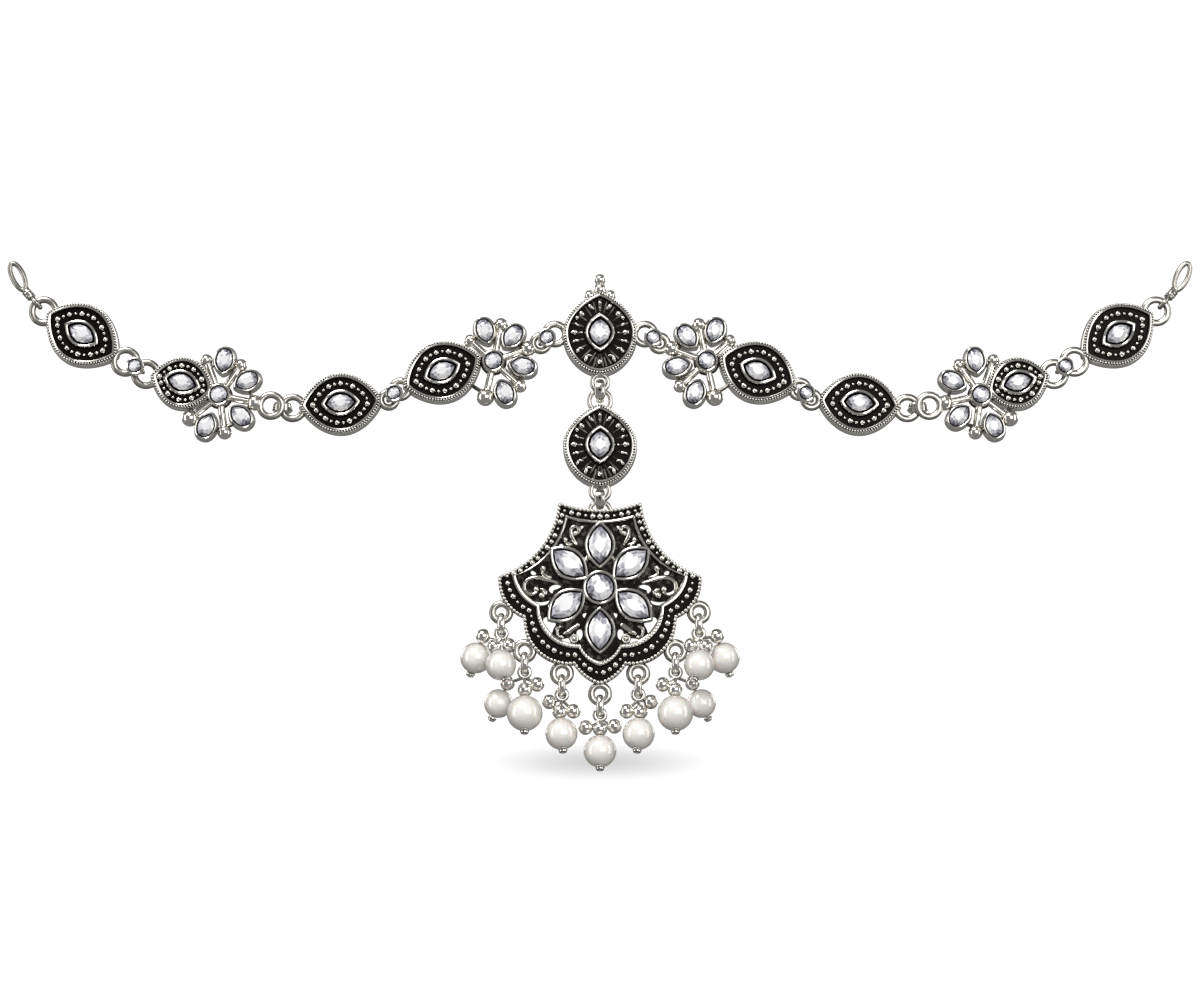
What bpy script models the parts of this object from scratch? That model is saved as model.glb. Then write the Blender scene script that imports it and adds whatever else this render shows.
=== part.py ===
"""A matha patti: a jewelled head chain with a centre plaque, a leaf and a fan pendant below it.

Metres, +Z up. The front faces -Y. The origin is the middle of the centre plaque's back face,
where the jewel hangs on the parting of the hair. The two halves of the band mirror each other.
"""

import math

import bmesh
import bpy
from mathutils import Vector

# Wires, eyes and the gaps between loose pieces
RUN_GAP = 0.00022
EYE_WIRE = 0.0012
SMALL_EYE_WIRE = 0.0008
LINK_WIRE = 0.0011
EYE_SINK = 0.0008
TIP_EYE_SINK = 0.0014
RING_SIDES = 10
SMALL_RING_SIDES = 10
WIRE_SIDES = 5

# The almond plates: a deep cup with a raised rim, a bezel and a stone
PLATE_DEPTH = 0.0040
WALL_DRAFT = 0.0005
RIM_WIDTH = 0.0008
FLOOR_DROP = 0.0010
BEZEL_WIDTH = 0.0011
BEZEL_RISE = 0.0006
STONE_RISE = 0.0007
STONE_TABLE = 0.50
ALMOND_STEPS = 6

# The centre plaque and the leaf that hangs from it
PLAQUE_LENGTH = 0.0202
PLAQUE_WIDTH = 0.0178
PLAQUE_TIP_POWER = 0.80
PLAQUE_FOOT_POWER = 0.55
PLAQUE_BEZEL_LENGTH = 0.0098
PLAQUE_BEZEL_WIDTH = 0.0075
PLAQUE_EYE = 0.0062
PLAQUE_EYE_HEIGHT = 0.0002
FINIAL_BALL = 0.0030
FINIAL_SIDE_BALL = 0.0026
DROP_EYE = 0.0052
LEAF_TOP_EYE = 0.0066
LEAF_FOOT_EYE = 0.0058
LEAF_LENGTH = 0.0200
LEAF_WIDTH = 0.0176
STRAP_WIDTH = 0.0026
STRAP_WALL = 0.0009
STRAP_LENGTH = 0.0062
BAND_STRAP_LENGTH = 0.0054
FAN_STRAP_LENGTH = 0.0052
FAN_STRAP_RISE = 0.0005
LEAF_EYE_TUCK = 0.0015
LEAF_FOOT_OUT = 0.0015

# The band's almonds
BAND_LEAF_LENGTH = 0.0200
BAND_LEAF_WIDTH = 0.0140
BAND_BEZEL_LENGTH = 0.0100
BAND_BEZEL_WIDTH = 0.0067
END_LEAF_LENGTH = 0.0198
END_LEAF_WIDTH = 0.0132
SMALL_LEAF_LENGTH = 0.0140
SMALL_LEAF_WIDTH = 0.0112
SMALL_BEZEL_LENGTH = 0.0089
SMALL_BEZEL_WIDTH = 0.0058
ALMOND_POWER = 0.88

# The flowers of the band's two motifs
FLOWER_CUP = 0.0056
FLOWER_HUB = 0.0078
FLOWER_RING = 0.0180
FLOWER_RING_WIRE = 0.0012
FLOWER_RING_SIDES = 16
PETAL_LENGTH = 0.0076
PETAL_WIDTH = 0.0051
FLOWER_REACH = 0.0080
LEAF_TUCK = 0.0030
FLOWER_BACK = 0.0006
FLOWER_DEPTH = 0.0034
CUP_WALL = 0.0007
HUB_DEPTH = 0.0012
INNER_EYE = 0.0050
OUTER_EYE = 0.0054
RING_EYE = 0.0066
END_EYE = 0.0070

# The stone connectors and the round link between leaf and flower
CONNECTOR_CUP = 0.0046
CONNECTOR_STONE = 0.0035
CONNECTOR_DEPTH = 0.0016

# The hooks at the two ends
HOOK_WIRE = 0.00095
HOOK_LENGTH = 0.0085
HOOK_WIDTH = 0.0042
HOOK_NECK = 0.0036
HOOK_TILT = 65.0
HOOK_NECK_TILT = 48.0

# The fan pendant
FAN_HALF_WIDTH = 0.02525
FAN_HEIGHT = 0.0457
FAN_SHOULDER = 0.468  # height of the fan's top corners above its middle, as a share of its height
FAN_EYE_RISE = 0.000512  # height of the fan's hinge above its top corners
FAN_DROP = FAN_SHOULDER * FAN_HEIGHT + FAN_EYE_RISE
FAN_DEPTH = 0.0024
FAN_RIM_RISE = 0.0003
FAN_RAIL_RISE = 0.0006
FAN_FLOOR_DROP = 0.0003
FAN_WEB_DEPTH = 0.0011
FAN_TOP_EYE = 0.0064
FAN_CUP = 0.0085
FAN_STONE = 0.0064
PETAL_CUP_LENGTH = 0.0118
PETAL_CUP_WIDTH = 0.0074
PETAL_CUP_RISE = 0.0007
SCROLL_WIRE = 0.0009
FAN_LOOP = 0.0054
FAN_LOOP_REACH = 0.0021

# The drops below the fan
DROP_LINK_WIRE = 0.0009
CLUSTER_EYE = 0.0033
BEAD = 0.0034
PEARL_BORE = 0.0014
PEARL_SIDES = 10
CAP = 0.0022
CAP_DEPTH = 0.0008
CAP_SIDES = 8
PIN_WIRE = 0.0008

# The band's route: for each casting, the angle of the step from the eye before it to its own
# inner eye, and the casting's own tilt, in degrees
BAND_ROUTE = {
    "motif_a": (-34.8, 0.0),
    "leaf_b": (-45.0, -4.5),
    "motif_c": (4.0, 0.0),
    "leaf_d": (30.0, 32.0),
}

METALS = {
    "bright_silver": ((0.74, 0.72, 0.67, 1.0), 0.24, 1.0),
    "antique_silver": ((0.46, 0.44, 0.40, 1.0), 0.36, 1.0),
    "wire_silver": ((0.70, 0.68, 0.64, 1.0), 0.22, 1.0),
}
STONE_LOOK = ((0.86, 0.85, 0.90, 1.0), 0.06, 0.0)
PEARL_LOOK = ((0.88, 0.85, 0.80, 1.0), 0.28, 0.0)

MID = -PLATE_DEPTH / 2
STACK = (EYE_WIRE + RUN_GAP) / 2


def clear_scene():
    """Remove every object of the startup scene."""
    for obj in list(bpy.data.objects):
        bpy.data.objects.remove(obj, do_unlink=True)


def look(name, colour, roughness, metallic):
    """A Principled material."""
    material = bpy.data.materials.new(name)
    material.use_nodes = True
    shader = material.node_tree.nodes["Principled BSDF"]
    shader.inputs["Base Color"].default_value = colour
    shader.inputs["Roughness"].default_value = roughness
    shader.inputs["Metallic"].default_value = metallic
    return material


def spin(angle, x, z):
    """The point (x, z) turned anticlockwise, seen from the front, by an angle in degrees."""
    cosine = math.cos(math.radians(angle))
    sine = math.sin(math.radians(angle))
    return x * cosine - z * sine, x * sine + z * cosine


def polar(radius, angle):
    """The point at a radius and an angle in degrees."""
    return spin(angle, radius, 0.0)


def shift(ring, x=0.0, z=0.0, angle=0.0):
    """A flat ring of (x, z) points, turned and then moved."""
    turned = [spin(angle, px, pz) for px, pz in ring]
    return [(px + x, pz + z) for px, pz in turned]


def almond(length, width, head, foot, steps):
    """A pointed oval along X. Each power is 1 for a sharp end and 0.5 for a round one."""
    ring = []
    for step in range(2 * steps):
        turn = math.pi * step / steps
        power = head if math.cos(turn) > 0 else foot
        rise = abs(math.sin(turn)) ** (2 * power)
        ring.append((length / 2 * math.cos(turn), math.copysign(width / 2 * rise, math.sin(turn))))
    return ring


def circle(diameter, sides):
    """A round ring of points."""
    return [polar(diameter / 2, 360 * k / sides) for k in range(sides)]


def loft(rings):
    """A closed shell through flat rings (ring, y): the first and the last are capped."""
    points = []
    faces = []
    size = len(rings[0][0])
    for ring, y in rings:
        points += [(x, y, z) for x, z in ring]
    for row in range(len(rings) - 1):
        low = row * size
        for k in range(size):
            after = (k + 1) % size
            faces.append((low + k, low + after, low + size + after, low + size + k))
    faces.append(tuple(range(size)))
    faces.append(tuple(range((len(rings) - 1) * size, len(rings) * size)))
    return points, faces


def closed_loft(rings):
    """A closed shell through flat rings (ring, y) whose last ring joins the first."""
    points, faces = loft(rings)
    size = len(rings[0][0])
    last = (len(rings) - 1) * size
    faces = faces[:-2]
    for k in range(size):
        after = (k + 1) % size
        faces.append((last + k, last + after, after, k))
    return points, faces


def torus(
    x, y, z, outer, wire, edge_on=False, heading=0.0, sides=RING_SIDES, width=0.0, long=0.0
):
    """A ring of round wire. It lies in the X-Z plane, or edge-on along a heading in that plane.
    A width widens its wire to a strap, and long is its own length where it is oval."""
    points = []
    faces = []
    mean = (outer - wire) / 2
    half_width = (width or wire) / 2
    stretch = (long - outer) / 2 if long else 0.0
    for k in range(sides):
        turn = 2 * math.pi * (k + 0.5) / sides
        for side in range(WIRE_SIDES):
            around = 2 * math.pi * side / WIRE_SIDES
            radius = mean + wire / 2 * math.cos(around)
            across = half_width * math.sin(around)
            if edge_on:
                along, out = (radius + stretch) * math.cos(turn), radius * math.sin(turn)
                dx, dz = spin(heading, along, across)
                points.append((x + dx, y + out, z + dz))
            else:
                dx, dz = radius * math.cos(turn), radius * math.sin(turn)
                points.append((x + dx, y + across, z + dz))
    for k in range(sides):
        row, after = k * WIRE_SIDES, (k + 1) % sides * WIRE_SIDES
        for side in range(WIRE_SIDES):
            beside = (side + 1) % WIRE_SIDES
            faces.append((row + side, row + beside, after + beside, after + side))
    return points, faces


def turned(profile, place, direction, sides):
    """A shape turned about a line: profile rows are (distance along, radius)."""
    frame = Vector(direction).to_track_quat("Z", "Y").to_matrix()
    points = []
    for along, radius in profile:
        for k in range(sides):
            turn = 2 * math.pi * k / sides
            local = Vector((radius * math.cos(turn), radius * math.sin(turn), along))
            points.append(tuple(Vector(place) + frame @ local))
    faces = []
    for row in range(len(profile) - 1):
        low = row * sides
        for k in range(sides):
            after = (k + 1) % sides
            faces.append((low + k, low + after, low + sides + after, low + sides + k))
    return points, faces


def ball(place, diameter, sides=10, rows=4):
    """A round bead with flat poles."""
    half = diameter / 2
    profile = []
    for row in range(rows):
        turn = math.pi * (row + 0.55) / (rows + 0.1)
        profile.append((-half * math.cos(turn), half * math.sin(turn)))
    points, faces = turned(profile, place, (0, -1, 0), sides)
    faces.append(tuple(range(sides)))
    faces.append(tuple(range((rows - 1) * sides, rows * sides)))
    return points, faces


def rod(start, end, diameter, sides=6):
    """A plain round rod between two points."""
    span = Vector(end) - Vector(start)
    half = diameter / 2
    profile = [(0.0, half), (span.length, half)]
    points, faces = turned(profile, start, span, sides)
    faces.append(tuple(range(sides)))
    faces.append(tuple(range(sides, 2 * sides)))
    return points, faces


def granule(x, z, diameter, foot, height, sides=4):
    """A raised grain on a floor: foot is the depth where it starts and height how far it stands."""
    base = shift(circle(diameter * 1.2, sides), x, z)
    top = shift(circle(diameter * 0.5, sides), x, z)
    return loft([(base, foot + 0.0003), (top, foot - height)])


def mesh_of(name, shells, mirrored=False):
    """One mesh from closed shells, with every face turned outwards."""
    work = bmesh.new()
    for points, faces in shells:
        corners = [work.verts.new((-p[0], p[1], p[2]) if mirrored else p) for p in points]
        for face in faces:
            work.faces.new([corners[k] for k in face])
    bmesh.ops.recalc_face_normals(work, faces=work.faces[:])
    mesh = bpy.data.meshes.new(name)
    work.to_mesh(mesh)
    work.free()
    mesh.shade_smooth()
    mesh.set_sharp_from_angle(angle=math.radians(35))
    return mesh


def place_object(name, mesh, parent, location, tilt):
    """An object under a parent, tilted anticlockwise in the band's plane by degrees."""
    obj = bpy.data.objects.new(name, mesh)
    bpy.context.scene.collection.objects.link(obj)
    obj.parent = parent
    obj.location = location
    obj.rotation_euler = (0.0, -math.radians(tilt), 0.0)
    return obj


def piece(name, layers, material, parent, location=(0, 0, 0), tilt=0.0, mirrored=False):
    """A node from its layers, in order. The first is its base. Each later one is a list of
    shells to join to it, or Cut(shells) to cut them from it."""
    if mirrored:
        location = (-location[0], location[1], location[2])
        tilt = -tilt
    body = place_object(name, mesh_of(name, layers[0], mirrored=mirrored), parent, location, tilt)
    body.data.materials.append(material)
    for number, layer in enumerate(layers[1:]):
        tool_name = f"{name}_layer_{number + 1}"
        tool = place_object(
            tool_name, mesh_of(tool_name, layer, mirrored=mirrored), parent, location, tilt
        )
        tool.hide_render = True
        tool.display_type = "WIRE"
        join = body.modifiers.new(tool_name, "BOOLEAN")
        join.operation = "DIFFERENCE" if isinstance(layer, Cut) else "UNION"
        join.solver = "EXACT"
        join.object = tool
    return body


class Cut(list):
    """Shells that are cut from a piece."""


def anchor(name, location):
    """An empty that a body's pieces hang from."""
    empty = bpy.data.objects.new(name, None)
    bpy.context.scene.collection.objects.link(empty)
    empty.location = location
    return empty


class Almond:
    """An almond plate: its outline, its bezel and where its grains stand."""

    def __init__(self, length, width, bezel_length, bezel_width, head, foot):
        self.length = length
        self.width = width
        self.bezel_length = bezel_length
        self.bezel_width = bezel_width
        self.head = head
        self.foot = foot

    def outline(self, inset):
        """The plate's outline, inset by a width."""
        return almond(
            self.length - 2.6 * inset, self.width - 2 * inset, self.head, self.foot, ALMOND_STEPS
        )

    def bezel(self, inset):
        """The bezel's outline, inset by a width."""
        return almond(
            self.bezel_length - 2.8 * inset, self.bezel_width - 2 * inset, 0.85, 0.85, ALMOND_STEPS
        )

    def stone_ring(self, share):
        """The stone's outline at a share of its full size."""
        ring = self.bezel(BEZEL_WIDTH)
        return [(x * share, z * share) for x, z in ring]

    def shell(self, with_stone):
        """The plate as one shell, closed by its stone or by the seat of a loose one."""
        front = -PLATE_DEPTH
        floor = front + FLOOR_DROP
        rings = [
            (self.outline(-WALL_DRAFT), 0.0),
            (self.outline(0.0), front),
            (self.outline(RIM_WIDTH), front),
            (self.outline(RIM_WIDTH), floor),
            (self.bezel(0.0), floor),
            (self.bezel(BEZEL_WIDTH * 0.45), front - BEZEL_RISE),
        ]
        if with_stone:
            rings += [
                (self.bezel(BEZEL_WIDTH), front),
                (self.stone_ring(STONE_TABLE), front - STONE_RISE),
            ]
        else:
            rings.append((self.bezel(BEZEL_WIDTH), floor))
        return loft(rings)

    def loose_stone(self):
        """The stone as its own shell, clear of its bezel and seat."""
        share = 1 - RUN_GAP / (self.bezel_width / 2 - BEZEL_WIDTH)
        front = -PLATE_DEPTH
        return loft([
            (self.stone_ring(share * 0.8), front + FLOOR_DROP - RUN_GAP),
            (self.stone_ring(share), front),
            (self.stone_ring(STONE_TABLE), front - STONE_RISE),
        ])

    def grains(self, count, diameter):
        """A ring of grains on the floor between rim and bezel."""
        shells = []
        floor = -PLATE_DEPTH + FLOOR_DROP
        for k in range(count):
            turn = 2 * math.pi * (k + 0.5) / count
            reach = 0.5 * (self.length / 2 + self.bezel_length / 2) - RIM_WIDTH * 0.5
            side = 0.5 * (self.width / 2 + self.bezel_width / 2) - RIM_WIDTH * 0.4
            x, z = reach * 0.93 * math.cos(turn), side * math.sin(turn)
            shells.append(granule(x, z, diameter, floor, FLOOR_DROP * 0.8))
        return shells


def cup(ring_at, back, front, wall, rise):
    """A stone in a plain bezel, as one shell: ring_at(inset, share) gives the outline."""
    return loft([
        (ring_at(0.0, 1.0), back),
        (ring_at(wall * 0.4, 1.0), front),
        (ring_at(wall, 1.0), front + rise),
        (ring_at(wall, STONE_TABLE), front - rise * 0.2),
    ])


def round_cup(x, z, diameter, back, front, wall, rise, sides=RING_SIDES):
    """A round stone in its bezel."""
    return cup(
        lambda inset, share: shift(circle((diameter - 2 * inset) * share, sides), x, z),
        back, front, wall, rise,
    )


def petal_cup(x, z, heading, length, width, powers, back, front, wall, rise, steps):
    """A pointed stone in its bezel, with its head along a heading in degrees."""
    def ring_at(inset, share):
        ring = almond((length - 2.6 * inset) * share, (width - 2 * inset) * share, *powers, steps)
        return shift(ring, x, z, heading)
    return cup(ring_at, back, front, wall, rise)


BAND_LEAF = Almond(
    BAND_LEAF_LENGTH, BAND_LEAF_WIDTH, BAND_BEZEL_LENGTH, BAND_BEZEL_WIDTH,
    ALMOND_POWER, ALMOND_POWER,
)
END_LEAF = Almond(
    END_LEAF_LENGTH, END_LEAF_WIDTH, BAND_BEZEL_LENGTH, BAND_BEZEL_WIDTH,
    ALMOND_POWER, ALMOND_POWER,
)
SMALL_LEAF = Almond(
    SMALL_LEAF_LENGTH, SMALL_LEAF_WIDTH, SMALL_BEZEL_LENGTH, SMALL_BEZEL_WIDTH,
    ALMOND_POWER, ALMOND_POWER,
)
PLAQUE = Almond(
    PLAQUE_LENGTH, PLAQUE_WIDTH, PLAQUE_BEZEL_LENGTH, PLAQUE_BEZEL_WIDTH,
    PLAQUE_TIP_POWER, PLAQUE_FOOT_POWER,
)
LEAF = Almond(
    LEAF_LENGTH, LEAF_WIDTH, PLAQUE_BEZEL_LENGTH, PLAQUE_BEZEL_WIDTH,
    PLAQUE_TIP_POWER, PLAQUE_FOOT_POWER,
)

# A flower's petals and balls: the angle in degrees and the share of its radius FLOWER_REACH
FLOWERS = {
    "motif_a": {
        "petals": ((74.6, 0.95), (127.6, 0.94), (190.3, 0.88), (250.1, 1.0)),
        "balls": ((101.3, 1.20, 0.0029), (42.7, 1.0, 0.0026), (222.2, 1.13, 0.0028),
                  (282.6, 1.15, 0.0037)),
        "eye_ball": (158.6, 1.165, 0.0033),
        "leaf": (-11.4, -22.0, BAND_LEAF),
    },
    "motif_c": {
        "petals": ((98.3, 1.05), (153.3, 0.92), (224.7, 0.90), (291.9, 1.0)),
        "balls": ((69.6, 1.20, 0.0026), (124.3, 1.17, 0.0027), (261.6, 1.17, 0.0030),
                  (322.0, 1.16, 0.0035)),
        "eye_ball": (191.5, 1.13, 0.0033),
        "leaf": (18.5, 15.0, SMALL_LEAF),
    },
}


def eye_ring(x, z, level, outer):
    """A cast eye that lies flat in the band's plane."""
    return torus(x, level, z, outer, EYE_WIRE)


def eye_mean(outer):
    """The radius of an eye's wire centre line."""
    return (outer - EYE_WIRE) / 2


def flower_casting(name, inner_eye, outer_eye, grain_count):
    """A flower with its leaf. It returns the layers, and where its outer eye is."""
    flower = FLOWERS[name]
    back = -FLOWER_BACK
    front = -FLOWER_BACK - FLOWER_DEPTH
    leaf_angle, leaf_tilt, leaf = flower["leaf"]
    reach = leaf.length / 2 + LEAF_TUCK
    leaf_x, leaf_z = polar(reach, leaf_angle)
    base, = moved([leaf.shell(True)], leaf_x, leaf_z, leaf_tilt)
    grains = moved(leaf.grains(grain_count, 0.0011), leaf_x, leaf_z, leaf_tilt)
    petals = [
        petal_cup(
            *polar(FLOWER_REACH * share, angle), angle + 180, PETAL_LENGTH, PETAL_WIDTH,
            (0.85, 0.5), back, front, CUP_WALL, 0.0003, 4,
        )
        for angle, share in flower["petals"]
    ]
    all_balls = flower["balls"] + (flower["eye_ball"],)
    hub = loft([
        (circle(FLOWER_HUB, RING_SIDES), back - 0.0002),
        (circle(FLOWER_HUB, RING_SIDES), back - HUB_DEPTH),
    ])
    frame = torus(
        0.0, back - FLOWER_RING_WIRE, 0.0, FLOWER_RING, FLOWER_RING_WIRE, sides=FLOWER_RING_SIDES
    )
    balls = []
    for angle, share, diameter in all_balls:
        x, z = polar(FLOWER_REACH * share, angle)
        balls.append(ball((x, back - diameter * 0.42, z), diameter, 8, 3))
    heart = round_cup(0.0, 0.0, FLOWER_CUP, back - 0.0001, front - 0.0005, CUP_WALL, 0.0003, 8)
    eye_angle, eye_share, eye_ball = flower["eye_ball"]
    eye_reach = FLOWER_REACH * eye_share + eye_ball / 2 + inner_eye / 2 - EYE_SINK
    inner = polar(eye_reach, eye_angle)
    outward = leaf.length / 2 + outer_eye / 2 - TIP_EYE_SINK
    dx, dz = polar(outward, leaf_tilt)
    outer = (leaf_x + dx, leaf_z + dz)
    eyes = [
        eye_ring(*inner, MID - STACK, inner_eye),
        eye_ring(*outer, MID + STACK, outer_eye),
    ]
    return [[base], [hub, frame], [heart], petals, balls, eyes, grains], inner, outer


def leaf_casting(leaf, inner_eye, outer_eye, inner_out, outer_out, grain_count):
    """A leaf with an eye at each tip: the outs say how far each eye's ring leaves the tip."""
    inner = (-(leaf.length / 2 + inner_out), 0.0)
    outer = (leaf.length / 2 + outer_out, 0.0)
    eyes = [
        eye_ring(*inner, MID - STACK, inner_eye),
        eye_ring(*outer, MID + STACK, outer_eye),
    ]
    return [[leaf.shell(True)], eyes, leaf.grains(grain_count, 0.0011)], inner, outer


def connector(heading):
    """A stone connector round two stacked eye wires, centred where the wires cross."""
    hole = 2 * EYE_WIRE + 3 * RUN_GAP
    outer = hole + 2 * LINK_WIRE
    ring = torus(0.0, MID, 0.0, outer, LINK_WIRE, edge_on=True, heading=heading)
    base = MID - hole / 2 - LINK_WIRE * 0.45
    head = round_cup(0.0, 0.0, CONNECTOR_CUP, base, base - CONNECTOR_DEPTH,
                     (CONNECTOR_CUP - CONNECTOR_STONE) / 2, 0.0003, sides=RING_SIDES)
    return [[ring], [head]]


def strap_link(level, heading, long, rise=0.0):
    """A wide closed oval link round two stacked eye wires."""
    outer = 2 * EYE_WIRE + 3 * RUN_GAP + 2 * STRAP_WALL
    return [[torus(
        0.0, level, rise, outer, STRAP_WALL, edge_on=True, heading=heading, width=STRAP_WIDTH,
        long=long,
    )]]


def wire(path, y, diameter, closed=False):
    """A round wire along a flat path of (x, z) points."""
    count = len(path)
    points = []
    faces = []
    for k, (x, z) in enumerate(path):
        before = path[k - 1] if closed or k else path[0]
        after = path[(k + 1) % count] if closed or k < count - 1 else path[-1]
        heading = math.atan2(after[1] - before[1], after[0] - before[0])
        for side in range(WIRE_SIDES):
            around = 2 * math.pi * side / WIRE_SIDES
            across = diameter / 2 * math.cos(around)
            dx, dz = -math.sin(heading) * across, math.cos(heading) * across
            points.append((x + dx, y + diameter / 2 * math.sin(around), z + dz))
    for k in range(count if closed else count - 1):
        row, after = k * WIRE_SIDES, (k + 1) % count * WIRE_SIDES
        for side in range(WIRE_SIDES):
            beside = (side + 1) % WIRE_SIDES
            faces.append((row + side, row + beside, after + beside, after + side))
    if not closed:
        faces.append(tuple(range(WIRE_SIDES)))
        faces.append(tuple(range((count - 1) * WIRE_SIDES, count * WIRE_SIDES)))
    return points, faces


def hook():
    """The end hook, built round the crossing point of the last cast eye's wire."""
    hole = EYE_WIRE + 2 * RUN_GAP
    outer = hole + 2 * HOOK_WIRE
    ring_x, ring_z = polar(hole / 2 - EYE_WIRE / 2 - RUN_GAP, HOOK_NECK_TILT)
    level = MID + STACK
    ring = torus(
        ring_x, level, ring_z, outer, HOOK_WIRE, edge_on=True, heading=HOOK_NECK_TILT,
        sides=SMALL_RING_SIDES,
    )
    start = polar(outer / 2 - HOOK_WIRE * 0.6, HOOK_NECK_TILT)
    start = (ring_x + start[0], ring_z + start[1])
    ahead = polar(HOOK_NECK, HOOK_NECK_TILT)
    pinch = (start[0] + ahead[0], start[1] + ahead[1])
    neck = rod((start[0], level, start[1]), (pinch[0], level, pinch[1]), HOOK_WIRE * 1.7)
    path = []
    steps = 12
    length = HOOK_LENGTH - HOOK_WIRE
    for k in range(steps):
        turn = 2 * math.pi * (k + 0.5) / steps
        along = length / 2 * (1 - math.cos(turn))
        narrow = 0.88 + 0.12 * math.sin(turn / 2)
        across = (HOOK_WIDTH - HOOK_WIRE) / 2 * math.sin(turn) * narrow
        path.append((along, across))
    x, z = polar(HOOK_WIRE * 0.3, HOOK_TILT)
    loop = wire(shift(path, pinch[0] - x, pinch[1] - z, HOOK_TILT), level, HOOK_WIRE, closed=True)
    return [[ring], [neck], [loop]]


def arc_point(start, end, bulge, share):
    """A point on an arc and its outward direction: bulge is the arc's rise over its chord."""
    chord = Vector((end[0] - start[0], end[1] - start[1]))
    left = Vector((-chord.y, chord.x))
    middle = Vector(start) + chord / 2
    if abs(bulge) < 1e-6:
        point = Vector(start) + chord * share
        return (point.x, point.y), left.normalized()
    rise = bulge * chord.length
    radius = (chord.length ** 2 / 4 + rise ** 2) / (2 * rise)
    hub = middle + left.normalized() * (rise - radius)
    half = math.asin(chord.length / 2 / abs(radius))
    if abs(bulge) > 0.5:
        half = math.pi - half
    turn = (0.5 - share) * 2 * half * (1 if radius > 0 else -1)
    up = left.normalized() * (1 if radius > 0 else -1)
    spun = Vector(spin(math.degrees(turn), up.x, up.y))
    point = hub + spun * abs(radius)
    outward = spun * (1 if radius > 0 else -1)
    return (point.x, point.y), outward


# The fan's outline and its inner rail: corners as shares of its half width and height,
# each with the bulge and the number of steps of the arc that follows it
FAN_OUTLINE = (
    ((-0.406, FAN_SHOULDER), -0.093, 6),
    ((0.406, FAN_SHOULDER), -0.15, 4),
    ((1.0, 0.059), 0.17, 3),
    ((0.752, -0.166), 0.234, 5),
    ((0.257, -0.422), 0.09, 2),
)
FAN_RAIL = (
    ((-0.333, 0.389), -0.08, 6),
    ((0.333, 0.389), -0.14, 4),
    ((0.848, 0.063), 0.125, 3),
    ((0.614, -0.101), 0.22, 5),
    ((0.202, -0.322), 0.12, 2),
)
FAN_TIP = (0.0, -0.532)
FAN_RAIL_TIP = (0.0, -0.418)
FAN_LOOPS = ((2, 0.62), (3, 0.38), (3, 0.86))

# Petals of the fan's flower: distance from the centre as a share of the half width, and angle
FAN_PETALS = ((0.423, 90.0), (0.387, 38.0), (0.375, -28.0), (0.424, -90.0))
FAN_PETAL_HEADING = (90.0, 40.0, -39.0, -90.0)

# Pierced gaps of the right half: place, half sizes (all shares of the half width) and angle
FAN_GAPS = (
    (0.50, -0.30, 0.13, 0.055, -60.0),
    (0.40, -0.47, 0.08, 0.035, -25.0),
    (0.19, -0.52, 0.05, 0.022, 80.0),
    (0.16, -0.28, 0.06, 0.028, 65.0),
    (0.63, -0.135, 0.065, 0.035, 20.0),
    (0.70, 0.16, 0.045, 0.022, 35.0),
    (0.22, 0.26, 0.030, 0.014, 70.0),
    (0.18, 0.60, 0.035, 0.016, 10.0),
    (0.36, 0.38, 0.035, 0.016, 50.0),
)

# Scrolls of the right half: start of the tail, the curl's centre, its radius (shares of the
# half width), the angle where the curl begins and how far it turns, in degrees
FAN_SCROLLS = (
    ((0.247, 0.43), (0.29, 0.66), 0.052, -60.0, 300.0),
    ((0.42, 0.05), (0.68, 0.02), 0.075, 90.0, -290.0),
    ((0.22, -0.43), (0.37, -0.50), 0.060, 110.0, -250.0),
)
FAN_BEADS = ((0.36, 0.475, 0.0018), (0.55, 0.20, 0.0022), (0.56, -0.09, 0.0016), (0.25, -0.585, 0.0020))


def fan_place(share):
    """A point of the fan, in metres, from shares of its half width and height."""
    return share[0] * FAN_HALF_WIDTH, share[1] * FAN_HEIGHT


def fan_ring(corners, tip):
    """The whole outline: the right half's arcs and their mirror."""
    right = []
    ends = [fan_place(place) for place, _, _ in corners] + [fan_place(tip)]
    for k, (_, bulge, steps) in enumerate(corners):
        for step in range(steps):
            share = step / steps
            if k == 0 and share < 0.5:
                continue
            right.append(arc_point(ends[k], ends[k + 1], bulge, share)[0])
    left = [(-x, z) for x, z in reversed(right[1:])]
    return right + [ends[-1]] + left


def between(outer, inner, share):
    """The ring that lies at a share of the way from one ring to another."""
    return [
        (a + (c - a) * share, b + (d - b) * share) for (a, b), (c, d) in zip(outer, inner)
    ]


def fan_petal_places():
    """Each petal's centre and heading, right half and mirror."""
    places = []
    for (share, angle), heading in zip(FAN_PETALS, FAN_PETAL_HEADING):
        x, z = polar(share * FAN_HALF_WIDTH, angle)
        places.append((x, z, heading))
        if abs(angle) != 90.0:
            places.append((-x, z, 180.0 - heading))
    return places


def fan_petal_ring(x, z, heading, inset, share=1.0):
    """A petal's outline on the fan, inset by a width."""
    ring = almond(
        (PETAL_CUP_LENGTH - 2.9 * inset) * share, (PETAL_CUP_WIDTH - 2 * inset) * share,
        0.88, 0.88, 4,
    )
    return shift(ring, x, z, heading)


def fan_round_ring(x, z, heading, inset, share=1.0):
    """The outline of the fan's round middle stone, inset by a width."""
    return shift(circle((FAN_CUP - 2 * inset) * share, RING_SIDES), x, z, heading)


def seat(ring_at, back, front, wall, floor):
    """A bezel with a seat for a loose stone."""
    return loft([
        (ring_at(0.0), back),
        (ring_at(wall * 0.4), front),
        (ring_at(wall), front),
        (ring_at(wall), floor),
    ])


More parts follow.
